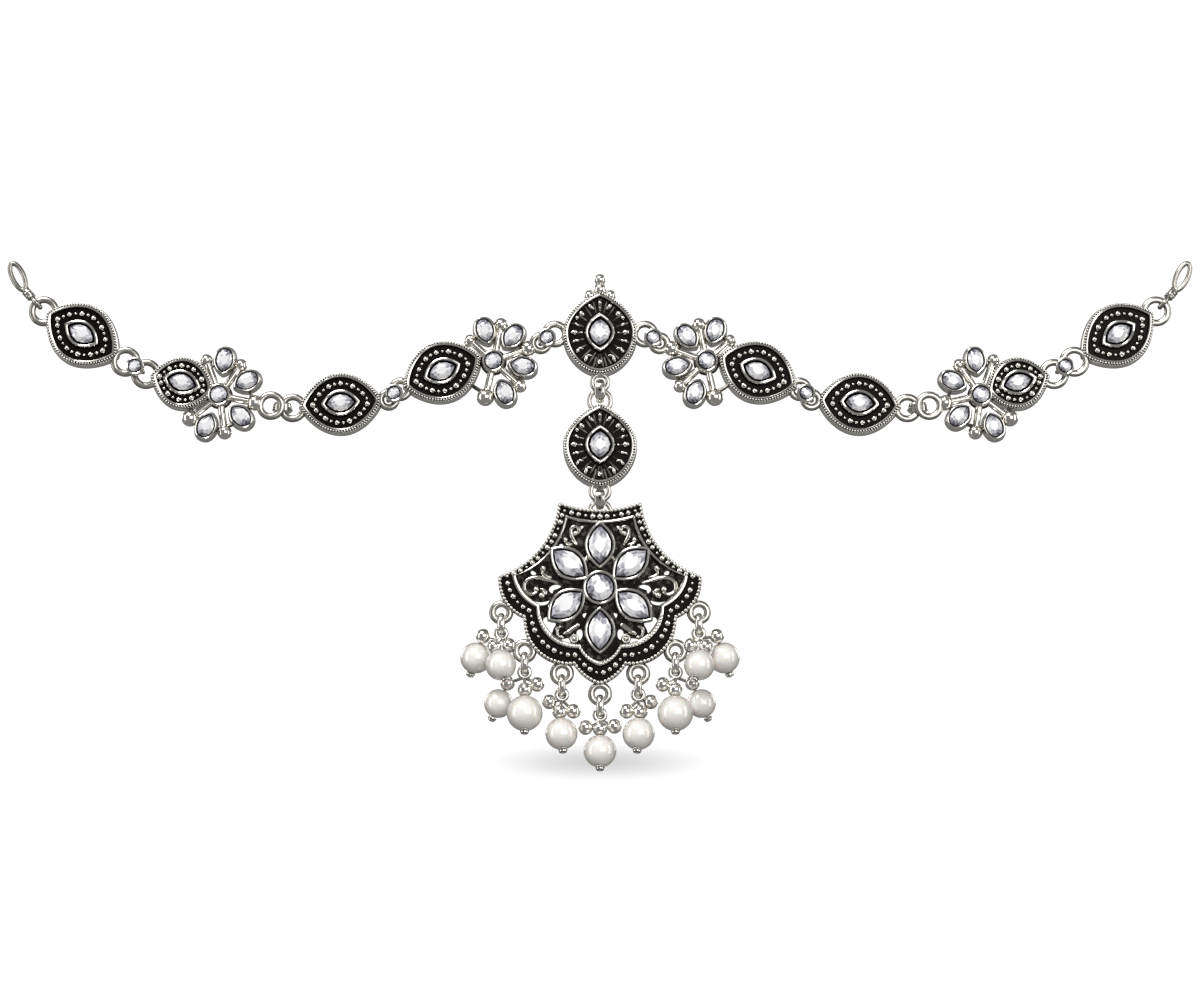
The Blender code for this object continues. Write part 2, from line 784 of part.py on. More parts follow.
def loose_stone(ring_at, front, wall, floor):
    """A cut stone for such a seat, clear of it all round."""
    inset = wall + RUN_GAP
    return loft([
        (ring_at(inset, 0.82), floor - RUN_GAP),
        (ring_at(inset, 1.0), front + 0.0002),
        (ring_at(inset, STONE_TABLE), front - STONE_RISE * 0.8),
    ])


FAN_BACK = MID + FAN_DEPTH / 2 + 0.0002
FAN_FRONT = FAN_BACK - FAN_DEPTH
FAN_STONES = fan_petal_places() + [(0.0, 0.0, 0.0)]


def fan_rings(k):
    """The outline function and the wall of the fan's stone number k."""
    x, z, heading = FAN_STONES[k]
    shape = fan_round_ring if k == len(FAN_STONES) - 1 else fan_petal_ring
    wall = (FAN_CUP - FAN_STONE) / 2
    return lambda inset, share=1.0: shape(x, z, heading, inset, share), wall


def fan_loop_places():
    """Where the fan's drop loops stand, from left to right."""
    ends = [fan_place(place) for place, _, _ in FAN_OUTLINE] + [fan_place(FAN_TIP)]
    right = []
    for arc, share in FAN_LOOPS:
        point, outward = arc_point(ends[arc], ends[arc + 1], FAN_OUTLINE[arc][1], share)
        right.append((point[0] + outward.x * FAN_LOOP_REACH, point[1] + outward.y * FAN_LOOP_REACH))
    tip = fan_place(FAN_TIP)
    left = [(-x, z) for x, z in right]
    return left + [(tip[0], tip[1] - FAN_LOOP_REACH)] + list(reversed(right))


def fan_plate():
    """The fan: its flange, rail, web, bezels, scrolls and loops, and the cutters of its gaps."""
    outer = fan_ring(FAN_OUTLINE, FAN_TIP)
    rail = fan_ring(FAN_RAIL, FAN_RAIL_TIP)
    floor = FAN_FRONT + FAN_FLOOR_DROP
    flange = closed_loft([
        (outer, FAN_BACK),
        (outer, FAN_FRONT - FAN_RIM_RISE),
        (between(outer, rail, 0.22), FAN_FRONT - FAN_RIM_RISE),
        (between(outer, rail, 0.30), floor),
        (between(outer, rail, 0.84), floor),
        (between(outer, rail, 0.90), FAN_FRONT - FAN_RAIL_RISE),
        (between(outer, rail, 1.10), FAN_FRONT - FAN_RAIL_RISE),
        (between(outer, rail, 1.14), FAN_BACK),
    ])
    web_ring = between(outer, rail, 0.95)
    web = loft([(web_ring, FAN_BACK - 0.0001), (web_ring, FAN_BACK - FAN_WEB_DEPTH)])
    seats = []
    for k in range(len(FAN_STONES)):
        ring_at, wall = fan_rings(k)
        front = FAN_FRONT - PETAL_CUP_RISE
        seats.append(seat(ring_at, FAN_BACK - 0.0002, front, wall, FAN_FRONT + 0.0006))
    scrolls = []
    beads = []
    level = FAN_BACK - FAN_WEB_DEPTH - SCROLL_WIRE * 0.25
    for side in (1, -1):
        for tail, hub, radius, begin, sweep in FAN_SCROLLS:
            path = [tail]
            for k in range(7):
                dx, dz = polar(radius * (1 - 0.05 * k), begin + sweep * k / 6)
                path.append((hub[0] + dx, hub[1] + dz))
            path = [(side * x * FAN_HALF_WIDTH, z * FAN_HALF_WIDTH) for x, z in path]
            scrolls.append(wire(path, level, SCROLL_WIRE))
        for x, z, diameter in FAN_BEADS:
            place = (side * x * FAN_HALF_WIDTH, level, z * FAN_HALF_WIDTH)
            beads.append(ball(place, diameter, 6, 3))
    loops = [torus(x, MID, z, FAN_LOOP, EYE_WIRE) for x, z in fan_loop_places()]
    top_eye = torus(0.0, MID + 2 * STACK, FAN_DROP - eye_mean(FAN_TOP_EYE), FAN_TOP_EYE, EYE_WIRE)
    gaps = []
    for side in (1, -1):
        for x, z, long, short, angle in FAN_GAPS:
            ring = [
                (long * FAN_HALF_WIDTH * math.cos(math.pi * k / 3),
                 short * FAN_HALF_WIDTH * math.sin(math.pi * k / 3)) for k in range(6)
            ]
            tilt = angle if side > 0 else 180 - angle
            ring = shift(ring, side * x * FAN_HALF_WIDTH, z * FAN_HALF_WIDTH, tilt)
            gaps.append(loft([(ring, FAN_BACK + 0.001), (ring, FAN_BACK - FAN_WEB_DEPTH - 0.0004)]))
    return [[flange], [web], Cut(gaps), scrolls, beads, seats[:-1], seats[-1:],
            loops + [top_eye]]


# The drops, from the fan's side to its middle. Each row: a bead's place from its eye (x
# outwards, y, z), the tilt of its pin outwards, its lean to the back, and its pearl's diameter
DROPS = (
    ((0.0049, 0.0006, -0.0006, 19.0, 15.0, 0.00775),
     (0.0019, -0.0010, -0.0034, -20.0, -28.0, 0.00765),
     (-0.0022, -0.0003, -0.0030, 0.0, 0.0, None)),
    ((0.0046, 0.0015, -0.0026, 24.0, 0.0, 0.00720),
     (-0.0001, -0.0006, -0.0044, 0.0, -20.0, 0.00890),
     (-0.0034, 0.0, -0.0030, 0.0, 0.0, None)),
    ((0.0034, 0.0008, -0.0017, 0.0, 0.0, None),
     (0.0006, -0.0002, -0.0043, -5.0, -20.0, 0.00800),
     (-0.0031, 0.0, -0.0041, 0.0, 0.0, None)),
    ((0.0039, 0.0, -0.0028, 0.0, 0.0, None),
     (0.0, -0.0002, -0.0035, 0.0, -20.0, 0.00810),
     (-0.0039, 0.0, -0.0031, 0.0, 0.0, None)),
)


def drop_places(loop):
    """The link's centre and outer size, and the eye's centre, below a fan loop."""
    x, z = loop
    hole = EYE_WIRE + SMALL_EYE_WIRE + 3 * RUN_GAP
    top = z - eye_mean(FAN_LOOP) + EYE_WIRE / 2 + RUN_GAP
    link = (x, top - hole / 2)
    eye_top = top - hole + RUN_GAP + SMALL_EYE_WIRE / 2
    eye = (x, eye_top - (CLUSTER_EYE - SMALL_EYE_WIRE) / 2)
    return link, hole + 2 * DROP_LINK_WIRE, eye


def pin_direction(tilt, lean, side):
    """A pin's direction from its tilt outwards and its lean to the back."""
    return Vector((
        side * math.sin(math.radians(tilt)) * math.cos(math.radians(lean)),
        math.sin(math.radians(lean)),
        -math.cos(math.radians(tilt)) * math.cos(math.radians(lean)),
    ))


def cluster(eye, rows, side):
    """The eye with its beads and pins, as layers, and a mesh shell for each pearl."""
    pins = []
    beads = []
    caps = []
    pearls = []
    foot = Vector((eye[0], MID, eye[1] - (CLUSTER_EYE - SMALL_EYE_WIRE) / 2))
    for dx, dy, dz, tilt, lean, pearl in rows:
        place = Vector((eye[0] + side * dx, MID + dy, eye[1] + dz))
        pins.append(rod(foot, place, PIN_WIRE, 5))
        beads.append(ball(place, BEAD, 10, 3))
        if pearl is None:
            continue
        direction = pin_direction(tilt, lean, side)
        middle = place + direction * (BEAD / 2 + RUN_GAP + pearl / 2)
        end = middle + direction * (pearl / 2 + RUN_GAP + CAP_DEPTH * 0.5)
        pins.append(rod(place, end, PIN_WIRE, 5))
        start = middle + direction * (pearl / 2 * 0.97 + RUN_GAP)
        points, faces = turned(
            [(0.0, CAP / 2), (CAP_DEPTH, CAP * 0.3)], start, direction, CAP_SIDES
        )
        faces.append(tuple(range(CAP_SIDES)))
        faces.append(tuple(range(CAP_SIDES, 2 * CAP_SIDES)))
        caps.append((points, faces))
        pearls.append(pearl_shell(middle, direction, pearl))
    ring = torus(eye[0], MID, eye[1], CLUSTER_EYE, SMALL_EYE_WIRE, sides=SMALL_RING_SIDES)
    layers = [[ring]] + [[pin] for pin in pins] + [beads]
    if caps:
        layers.append(caps)
    return layers, pearls


def pearl_shell(middle, direction, diameter):
    """A drilled pearl."""
    half = diameter / 2
    bore = PEARL_BORE / 2
    reach = math.sqrt(half * half - bore * bore)
    start = math.asin(bore / half)
    profile = [(-reach, bore)]
    rows = 4
    for k in range(1, rows):
        turn = start + (math.pi - 2 * start) * k / rows
        profile.append((-half * math.cos(turn), half * math.sin(turn)))
    profile.append((reach, bore))
    points, faces = turned(profile, middle, direction, PEARL_SIDES)
    last = rows * PEARL_SIDES
    for k in range(PEARL_SIDES):
        after = (k + 1) % PEARL_SIDES
        faces.append((last + k, last + after, after, k))
    return points, faces


def moved(shells, x, z, tilt):
    """Shells turned in the band's plane and moved."""
    result = []
    for points, faces in shells:
        there = []
        for px, py, pz in points:
            (nx, nz), = shift([(px, pz)], x, z, tilt)
            there.append((nx, py, nz))
        result.append((there, faces))
    return result


def centre_pieces(metal, stone_look, root):
    """The centre plaque with its finial and three eyes, and its stone."""
    half = PLAQUE_LENGTH / 2
    side_x = PLAQUE_WIDTH / 2 + PLAQUE_EYE / 2 - EYE_SINK
    foot_z = -(half + DROP_EYE / 2 - EYE_SINK)
    upright = moved([PLAQUE.shell(False)], 0.0, 0.0, 90.0)
    eyes = [
        eye_ring(side_x, PLAQUE_EYE_HEIGHT, MID + STACK, PLAQUE_EYE),
        eye_ring(-side_x, PLAQUE_EYE_HEIGHT, MID + STACK, PLAQUE_EYE),
        eye_ring(0.0, foot_z, MID, DROP_EYE),
    ]
    low = half + FINIAL_BALL * 0.36
    high = low + FINIAL_BALL * 0.82
    beads = [
        [ball((0.0, MID, low), FINIAL_BALL)],
        [ball((0.0, MID, high), FINIAL_BALL)],
        [ball((sign * FINIAL_BALL * 0.82, MID, half - FINIAL_SIDE_BALL * 0.25), FINIAL_SIDE_BALL)
         for sign in (-1, 1)],
    ]
    grains = moved(PLAQUE.grains(8, 0.0012), 0.0, 0.0, 90.0)
    piece("centre_plaque", [upright, eyes, *beads, grains], metal, root)
    piece("centre_stone", [moved([PLAQUE.loose_stone()], 0.0, 0.0, 90.0)], stone_look, root)
    return (side_x, PLAQUE_EYE_HEIGHT), foot_z


def step_to(eye, outer_one, outer_two, angle):
    """The next eye's centre, and the crossing of the two stacked wires."""
    first = polar(eye_mean(outer_one), angle)
    both = polar(eye_mean(outer_one) + eye_mean(outer_two), angle)
    crossing = (eye[0] + first[0], eye[1] + first[1])
    return (eye[0] + both[0], eye[1] + both[1]), crossing


def after_tilt(start, inner, outer, tilt):
    """Where a casting's origin and its outer eye lie once its inner eye is at start."""
    ix, iz = spin(tilt, *inner)
    ox, oz = spin(tilt, *outer)
    origin = (start[0] - ix, start[1] - iz)
    return origin, (origin[0] + ox, origin[1] + oz)


def band(side_eye, metals, root):
    """Both halves of the band, from the plaque's side eyes to the end hooks."""
    antique, bright = metals["antique_silver"], metals["bright_silver"]
    castings = (
        ("motif_a", flower_casting("motif_a", INNER_EYE, OUTER_EYE, 6), INNER_EYE, OUTER_EYE),
        ("leaf_b", leaf_casting(BAND_LEAF, INNER_EYE, RING_EYE, 0.0020, 0.0021, 6),
         INNER_EYE, RING_EYE),
        ("motif_c", flower_casting("motif_c", RING_EYE, END_EYE, 6), RING_EYE, END_EYE),
        ("leaf_d", leaf_casting(END_LEAF, END_EYE, END_EYE, 0.0031, 0.0016, 6),
         END_EYE, END_EYE),
    )
    joins = {"motif_a": "connector_a", "leaf_b": "connector_b", "motif_c": "jump_ring",
             "leaf_d": "connector_c"}
    eye = (side_eye[0], side_eye[1])
    last_eye = PLAQUE_EYE
    for name, (layers, inner, outer), inner_size, outer_size in castings:
        angle, tilt = BAND_ROUTE[name]
        start, crossing = step_to(eye, last_eye, inner_size, angle)
        origin, eye = after_tilt(start, inner, outer, tilt)
        join = joins[name]
        if join == "jump_ring":
            join_layers = strap_link(MID, angle, BAND_STRAP_LENGTH)
        else:
            join_layers = connector(angle)
        for side, mirrored in (("right", False), ("left", True)):
            place = (origin[0], 0.0, origin[1])
            piece(f"{name}_{side}", layers, antique, root, place, tilt, mirrored)
            at = (crossing[0], 0.0, crossing[1])
            piece(f"{join}_{side}", join_layers, bright, root, at, 0.0, mirrored)
        last_eye = outer_size
    dx, dz = polar(eye_mean(END_EYE), HOOK_NECK_TILT)
    at = (eye[0] + dx, 0.0, eye[1] + dz)
    for side, mirrored in (("right", False), ("left", True)):
        piece(f"end_hook_{side}", hook(), metals["wire_silver"], root, at, 0.0, mirrored)


def leaf_pendant(pivot, metals, stone_look):
    """The leaf below the plaque with its link. It returns the next pivot."""
    body = anchor("leaf_pivot", pivot)
    link = strap_link(MID + STACK - pivot[1], -90.0, STRAP_LENGTH)
    piece("leaf_link", link, metals["bright_silver"], body)
    top_eye = -eye_mean(LEAF_TOP_EYE)
    centre = top_eye - LEAF_EYE_TUCK - LEAF_LENGTH / 2
    foot_eye = centre - LEAF_LENGTH / 2 - LEAF_FOOT_OUT
    eyes = [
        eye_ring(0.0, top_eye - centre, MID + 2 * STACK, LEAF_TOP_EYE),
        eye_ring(0.0, foot_eye - centre, MID, LEAF_FOOT_EYE),
    ]
    plate = moved([LEAF.shell(False)], 0.0, 0.0, 90.0)
    grains = moved(LEAF.grains(8, 0.0012), 0.0, 0.0, 90.0)
    place = (0.0, -pivot[1], centre)
    piece("drop_leaf", [plate, eyes, grains], metals["antique_silver"], body, place)
    gem = moved([LEAF.loose_stone()], 0.0, 0.0, 90.0)
    piece("drop_leaf_stone", [gem], stone_look, body, place)
    return (0.0, MID, pivot[2] + foot_eye - eye_mean(LEAF_FOOT_EYE))


def fan_pendant(pivot, metals, stone_look, pearl_look):
    """The fan below the leaf, with its link, its stones and its drops."""
    body = anchor("fan_pivot", pivot)
    link = strap_link(MID + STACK - pivot[1], -90.0, FAN_STRAP_LENGTH, FAN_STRAP_RISE)
    piece("fan_link", link, metals["bright_silver"], body)
    place = (0.0, -pivot[1], -FAN_DROP)
    piece("fan_plate", fan_plate(), metals["antique_silver"], body, place)
    for k in range(len(FAN_STONES)):
        ring_at, wall = fan_rings(k)
        shell = loose_stone(ring_at, FAN_FRONT - PETAL_CUP_RISE, wall, FAN_FRONT + 0.0006)
        piece(f"fan_stone_{k + 1}", [[shell]], stone_look, body, place)
    loops = fan_loop_places()
    for number, loop in enumerate(loops):
        row = min(number, len(loops) - 1 - number)
        side = -1 if number < len(loops) // 2 else 1
        link_at, link_outer, eye = drop_places(loop)
        ring = torus(link_at[0], MID, link_at[1], link_outer, DROP_LINK_WIRE, edge_on=True,
                     heading=-90.0, sides=SMALL_RING_SIDES)
        piece(f"drop_link_{number + 1}", [[ring]], metals["bright_silver"], body, place)
        layers, pearls = cluster(eye, DROPS[row], side)
        piece(f"bead_cluster_{number + 1}", layers, metals["bright_silver"], body, place)
        for letter, shell in zip("ab", pearls):
            piece(f"pearl_{number + 1}{letter}", [[shell]], pearl_look, body, place)


def main():
    """Build the whole jewel."""
    clear_scene()
    metals = {name: look(name, *values) for name, values in METALS.items()}
    stone_look = look("cut_stone", *STONE_LOOK)
    pearl_look = look("pearl", *PEARL_LOOK)
    root = anchor("matha_patti", (0.0, 0.0, 0.0))
    side_eye, foot_z = centre_pieces(metals["antique_silver"], stone_look, root)
    band(side_eye, metals, root)
    first = (0.0, MID, foot_z - eye_mean(DROP_EYE))
    second = leaf_pendant(first, metals, stone_look)
    fan_pendant(second, metals, stone_look, pearl_look)


main()
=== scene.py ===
"""The looks of a matha patti: cast silver plates with blackened floors, cut stones and pearls.

Metres, +Z up, the front, as it sits on the forehead, towards -Y. Every casting is built again at fine
size in the place
of its plain solid: rims, milgrain, grains, bezels, faceted stones, scrolls and drilled pearls.
"""

import logging
import math
from dataclasses import dataclass, field
from enum import Enum

import bmesh
import bpy
import numpy as np
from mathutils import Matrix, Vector
from mathutils.geometry import delaunay_2d_cdt


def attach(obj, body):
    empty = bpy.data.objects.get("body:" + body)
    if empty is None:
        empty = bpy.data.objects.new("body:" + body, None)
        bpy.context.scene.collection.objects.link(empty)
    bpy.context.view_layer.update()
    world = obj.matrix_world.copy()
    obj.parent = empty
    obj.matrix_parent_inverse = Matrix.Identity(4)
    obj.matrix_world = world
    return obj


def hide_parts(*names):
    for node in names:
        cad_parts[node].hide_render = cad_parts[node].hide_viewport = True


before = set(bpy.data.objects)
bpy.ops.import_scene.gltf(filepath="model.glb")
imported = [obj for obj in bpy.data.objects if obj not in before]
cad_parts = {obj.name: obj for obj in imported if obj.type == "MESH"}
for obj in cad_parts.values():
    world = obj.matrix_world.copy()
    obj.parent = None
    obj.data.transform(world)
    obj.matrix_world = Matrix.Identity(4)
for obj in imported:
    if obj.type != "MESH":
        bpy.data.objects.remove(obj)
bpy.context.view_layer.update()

log = logging.getLogger("matha_patti")

Flat = list[tuple[float, float]]
Solid = list[tuple[float, float, float]]

PLATE_DEPTH = 0.0040
EYE_WIRE = 0.0012
RUN_GAP = 0.00022
MID = -PLATE_DEPTH / 2
STACK = (EYE_WIRE + RUN_GAP) / 2

# Eyes look stouter across than deep: by this share, and with their middle line so far inside
STOUT = 1.45
STOUT_REACH = 0.9

# Heights of the pendants and of the links that carry them
LEAF_LINK_Z = -0.0139
LEAF_Z = -0.0281
FAN_LINK_Z = -0.0419
FAN_Z = -0.0638


class Skin(Enum):
    """Which finish a face takes: its number is the face's material slot."""

    SILVER = 0
    STONE = 1
    PEARL = 2


# Finishes


@dataclass(frozen=True)
class SilverFinish:
    """Cast silver plate that is bright on its high places and black with oxide in its hollows; the same
    tone also carries painted shade on the sides and backs of wires, grains and links.
    """

    name: str = "antique_silver"
    bright: tuple[float, float, float] = (0.80, 0.775, 0.73)
    # The middle grey serves both oxide partly rubbed away and the painted shade on the sides and backs
    # of wires, grains and links.
    worn_and_shaded: tuple[float, float, float] = (0.36, 0.335, 0.30)
    black: tuple[float, float, float] = (0.012, 0.011, 0.010)
    roughness: float = 0.15
    hollow_roughness: float = 0.42
    mottle: float = 0.10

    def make(self) -> bpy.types.Material:
        """Build the material.

        Returns:
            The node material, driven by the tone stored on each point.
        """
        material = bpy.data.materials.new(self.name)
        material.use_nodes = True
        tree = material.node_tree
        nodes, links = tree.nodes, tree.links
        shader = nodes["Principled BSDF"]
        tone = nodes.new("ShaderNodeAttribute")
        tone.attribute_name = "tone"
        place = nodes.new("ShaderNodeTexCoord")
        cloud = nodes.new("ShaderNodeTexNoise")
        cloud.inputs["Scale"].default_value = 900.0
        cloud.inputs["Detail"].default_value = 4.0
        grit = nodes.new("ShaderNodeTexNoise")
        grit.inputs["Scale"].default_value = 4200.0
        grit.inputs["Detail"].default_value = 2.0
        links.new(place.outputs["Object"], cloud.inputs["Vector"])
        links.new(place.outputs["Object"], grit.inputs["Vector"])
        shift = nodes.new("ShaderNodeMapRange")
        shift.inputs["From Min"].default_value = 0.3
        shift.inputs["From Max"].default_value = 0.7
        shift.inputs["To Min"].default_value = -self.mottle
        shift.inputs["To Max"].default_value = self.mottle
        links.new(cloud.outputs["Fac"], shift.inputs["Value"])
        total = nodes.new("ShaderNodeMath")
        total.operation = "ADD"
        total.use_clamp = True
        links.new(tone.outputs["Fac"], total.inputs[0])
        links.new(shift.outputs["Result"], total.inputs[1])
        ramp = nodes.new("ShaderNodeValToRGB")
        ramp.color_ramp.elements[0].position = 0.10
        ramp.color_ramp.elements[0].color = (*self.bright, 1.0)
        ramp.color_ramp.elements[1].position = 0.82
        ramp.color_ramp.elements[1].color = (*self.black, 1.0)
        middle = ramp.color_ramp.elements.new(0.42)
        middle.color = (*self.worn_and_shaded, 1.0)
        links.new(total.outputs["Value"], ramp.inputs["Fac"])
        links.new(ramp.outputs["Color"], shader.inputs["Base Color"])
        rough = nodes.new("ShaderNodeMapRange")
        rough.inputs["To Min"].default_value = self.roughness
        rough.inputs["To Max"].default_value = self.hollow_roughness
        links.new(total.outputs["Value"], rough.inputs["Value"])
        links.new(rough.outputs["Result"], shader.inputs["Roughness"])
        bump = nodes.new("ShaderNodeBump")
        bump.inputs["Strength"].default_value = 0.10
        bump.inputs["Distance"].default_value = 0.00004
        links.new(grit.outputs["Fac"], bump.inputs["Height"])
        links.new(bump.outputs["Normal"], shader.inputs["Normal"])
        shader.inputs["Metallic"].default_value = 1.0
        return material


@dataclass(frozen=True)
class StoneFinish:
    """Clear cut glass foiled behind, with painted reflections: white in the middle, lavender grey and
    dark at the ends.
    """

    name: str = "cut_stone"
    white: tuple[float, float, float] = (0.97, 0.97, 0.98)
    lavender: tuple[float, float, float] = (0.40, 0.40, 0.46)
    dark: tuple[float, float, float] = (0.09, 0.088, 0.11)

    def make(self) -> bpy.types.Material:
        """Build the material.

        Returns:
            The node material, whose facets take their painted reflection from the stored tone.
        """
        material = bpy.data.materials.new(self.name)
        material.use_nodes = True
        tree = material.node_tree
        nodes, links = tree.nodes, tree.links
        shader = nodes["Principled BSDF"]
        tone = nodes.new("ShaderNodeAttribute")
        tone.attribute_name = "tone"
        place = nodes.new("ShaderNodeTexCoord")
        cloud = nodes.new("ShaderNodeTexNoise")
        cloud.inputs["Scale"].default_value = 420.0
        cloud.inputs["Detail"].default_value = 1.0
        links.new(place.outputs["Object"], cloud.inputs["Vector"])
        shift = nodes.new("ShaderNodeMapRange")
        shift.inputs["From Min"].default_value = 0.3
        shift.inputs["From Max"].default_value = 0.7
        shift.inputs["To Min"].default_value = -0.14
        shift.inputs["To Max"].default_value = 0.14
        links.new(cloud.outputs["Fac"], shift.inputs["Value"])
        total = nodes.new("ShaderNodeMath")
        total.operation = "ADD"
        total.use_clamp = True
        links.new(tone.outputs["Fac"], total.inputs[0])
        links.new(shift.outputs["Result"], total.inputs[1])
        ramp = nodes.new("ShaderNodeValToRGB")
        ramp.color_ramp.elements[0].position = 0.16
        ramp.color_ramp.elements[0].color = (*self.white, 1.0)
        ramp.color_ramp.elements[1].position = 1.0
        ramp.color_ramp.elements[1].color = (*self.dark, 1.0)
        middle = ramp.color_ramp.elements.new(0.62)
        middle.color = (*self.lavender, 1.0)
        links.new(total.outputs["Value"], ramp.inputs["Fac"])
        links.new(ramp.outputs["Color"], shader.inputs["Base Color"])
        shader.inputs["Metallic"].default_value = 0.10
        shader.inputs["Roughness"].default_value = 0.06
        shader.inputs["IOR"].default_value = 1.62
        shader.inputs["Coat Weight"].default_value = 0.6
        shader.inputs["Coat Roughness"].default_value = 0.03
        return material


@dataclass(frozen=True)
class PearlFinish:
    """Cream imitation pearl: a soft body under a clear coat, with painted shade at its edge and a faint
    painted glow.
    """

    name: str = "pearl"
    cream: tuple[float, float, float] = (1.0, 0.975, 0.93)
    shade: tuple[float, float, float] = (0.40, 0.370, 0.320)
    painted_glow: float = 0.05

    def make(self) -> bpy.types.Material:
        """Build the material.

        Returns:
            The node material, with painted shade towards its edge, faint clouds and a painted glow.
        """
        material = bpy.data.materials.new(self.name)
        material.use_nodes = True
        tree = material.node_tree
        nodes, links = tree.nodes, tree.links
        shader = nodes["Principled BSDF"]
        place = nodes.new("ShaderNodeTexCoord")
        cloud = nodes.new("ShaderNodeTexNoise")
        cloud.inputs["Scale"].default_value = 260.0
        cloud.inputs["Detail"].default_value = 3.0
        links.new(place.outputs["Object"], cloud.inputs["Vector"])
        # Painted shade: the colour turns from cream to the shade colour towards the pearl's edge.
        edge = nodes.new("ShaderNodeLayerWeight")
        edge.inputs["Blend"].default_value = 0.50
        share = nodes.new("ShaderNodeMath")
        share.operation = "MULTIPLY_ADD"
        share.inputs[1].default_value = 0.16
        links.new(cloud.outputs["Fac"], share.inputs[0])
        links.new(edge.outputs["Facing"], share.inputs[2])
        ramp = nodes.new("ShaderNodeValToRGB")
        ramp.color_ramp.elements[0].position = 0.12
        ramp.color_ramp.elements[0].color = (*self.cream, 1.0)
        ramp.color_ramp.elements[1].position = 0.85
        ramp.color_ramp.elements[1].color = (*self.shade, 1.0)
        links.new(share.outputs["Value"], ramp.inputs["Fac"])
        links.new(ramp.outputs["Color"], shader.inputs["Base Color"])
        shader.inputs["Roughness"].default_value = 0.22
        shader.inputs["Metallic"].default_value = 0.05
        shader.inputs["Subsurface Weight"].default_value = 0.12
        shader.inputs["Subsurface Scale"].default_value = 0.002
        shader.inputs["Coat Weight"].default_value = 1.0
        shader.inputs["Coat Roughness"].default_value = 0.05
        # Painted glow: the pearl gives off a little cream light of its own.
        shader.inputs["Emission Color"].default_value = (*self.cream, 1.0)
        shader.inputs["Emission Strength"].default_value = self.painted_glow
        return material


@dataclass(frozen=True)
class BackdropFinish:
    """Plain white studio paper with a faint tooth, and a soft shadow painted on the wall where it shows
    just under the pearls from the camera.
    """

    name: str = "studio_paper"
    white: tuple[float, float, float] = (0.93, 0.93, 0.93)
    glow: float = 0.85
    painted_shadow_glow: float = 0.36
    painted_shadow_height: float = 0.0692
    painted_shadow_size: tuple[float, float] = (0.127, 0.0224)

    def make(self) -> bpy.types.Material:
        """Build the material.

        Returns:
            The node material of the floor and the wall behind, with the painted shadow.
        """
        material = bpy.data.materials.new(self.name)
        material.use_nodes = True
        tree = material.node_tree
        shader = tree.nodes["Principled BSDF"]
        tooth = tree.nodes.new("ShaderNodeTexNoise")
        tooth.inputs["Scale"].default_value = 30.0
        ramp = tree.nodes.new("ShaderNodeValToRGB")
        ramp.color_ramp.elements[0].color = (*(c * 0.99 for c in self.white), 1.0)
        ramp.color_ramp.elements[1].color = (*self.white, 1.0)
        tree.links.new(tooth.outputs["Fac"], ramp.inputs["Fac"])
        shader.inputs["Roughness"].default_value = 0.9
        # Painted shadow: the glow drops in a soft oval on the wall.
        place = tree.nodes.new("ShaderNodeTexCoord")
        squeeze = tree.nodes.new("ShaderNodeMapping")
        squeeze.inputs["Location"].default_value = (0.0, 0.0, -self.painted_shadow_height / self.painted_shadow_size[1])
        squeeze.inputs["Scale"].default_value = (1 / self.painted_shadow_size[0], 0.0, 1 / self.painted_shadow_size[1])
        reach = tree.nodes.new("ShaderNodeVectorMath")
        reach.operation = "LENGTH"
        fade = tree.nodes.new("ShaderNodeMapRange")
        fade.interpolation_type = "SMOOTHSTEP"
        fade.inputs["To Min"].default_value = self.painted_shadow_glow
        fade.inputs["To Max"].default_value = self.glow
        tree.links.new(ramp.outputs["Color"], shader.inputs["Base Color"])
        tree.links.new(place.outputs["Object"], squeeze.inputs["Vector"])
        tree.links.new(squeeze.outputs["Vector"], reach.inputs[0])
        tree.links.new(reach.outputs["Value"], fade.inputs["Value"])
        tree.links.new(fade.outputs["Result"], shader.inputs["Emission Strength"])
        tree.links.new(ramp.outputs["Color"], shader.inputs["Emission Color"])
        return material


class Workshop:
    """Holds the finishes, made once."""

    def __init__(self) -> None:
        """Make every finish."""
        self.silver = SilverFinish().make()
        self.wire = SilverFinish(
            name="wire_silver", bright=(0.74, 0.72, 0.68), worn_and_shaded=(0.36, 0.34, 0.30), roughness=0.17
        ).make()
        self.polished = SilverFinish(
            name="polished_silver", bright=(0.82, 0.80, 0.76), roughness=0.14, mottle=0.06
        ).make()
        self.stone = StoneFinish().make()
        self.pearl = PearlFinish().make()


# Flat shapes


def spin(angle: float, x: float, z: float) -> tuple[float, float]:
    """Turn a flat point.

    Args:
        angle: Anticlockwise turn in degrees, seen from the front.
        x: Its X.
        z: Its Z.

    Returns:
        The turned point.
    """
    cosine = math.cos(math.radians(angle))
    sine = math.sin(math.radians(angle))
    return x * cosine - z * sine, x * sine + z * cosine


def polar(radius: float, angle: float) -> tuple[float, float]:
    """Give the flat point at a radius and an angle in degrees."""
    return spin(angle, radius, 0.0)


def moved(ring: Flat, x: float = 0.0, z: float = 0.0, angle: float = 0.0) -> Flat:
    """Turn a flat ring and then move it.

    Args:
        ring: Its points.
        x: Move along X.
        z: Move along Z.
        angle: Turn in degrees.

    Returns:
        The new ring.
    """
    turned = [spin(angle, px, pz) for px, pz in ring]
    return [(px + x, pz + z) for px, pz in turned]


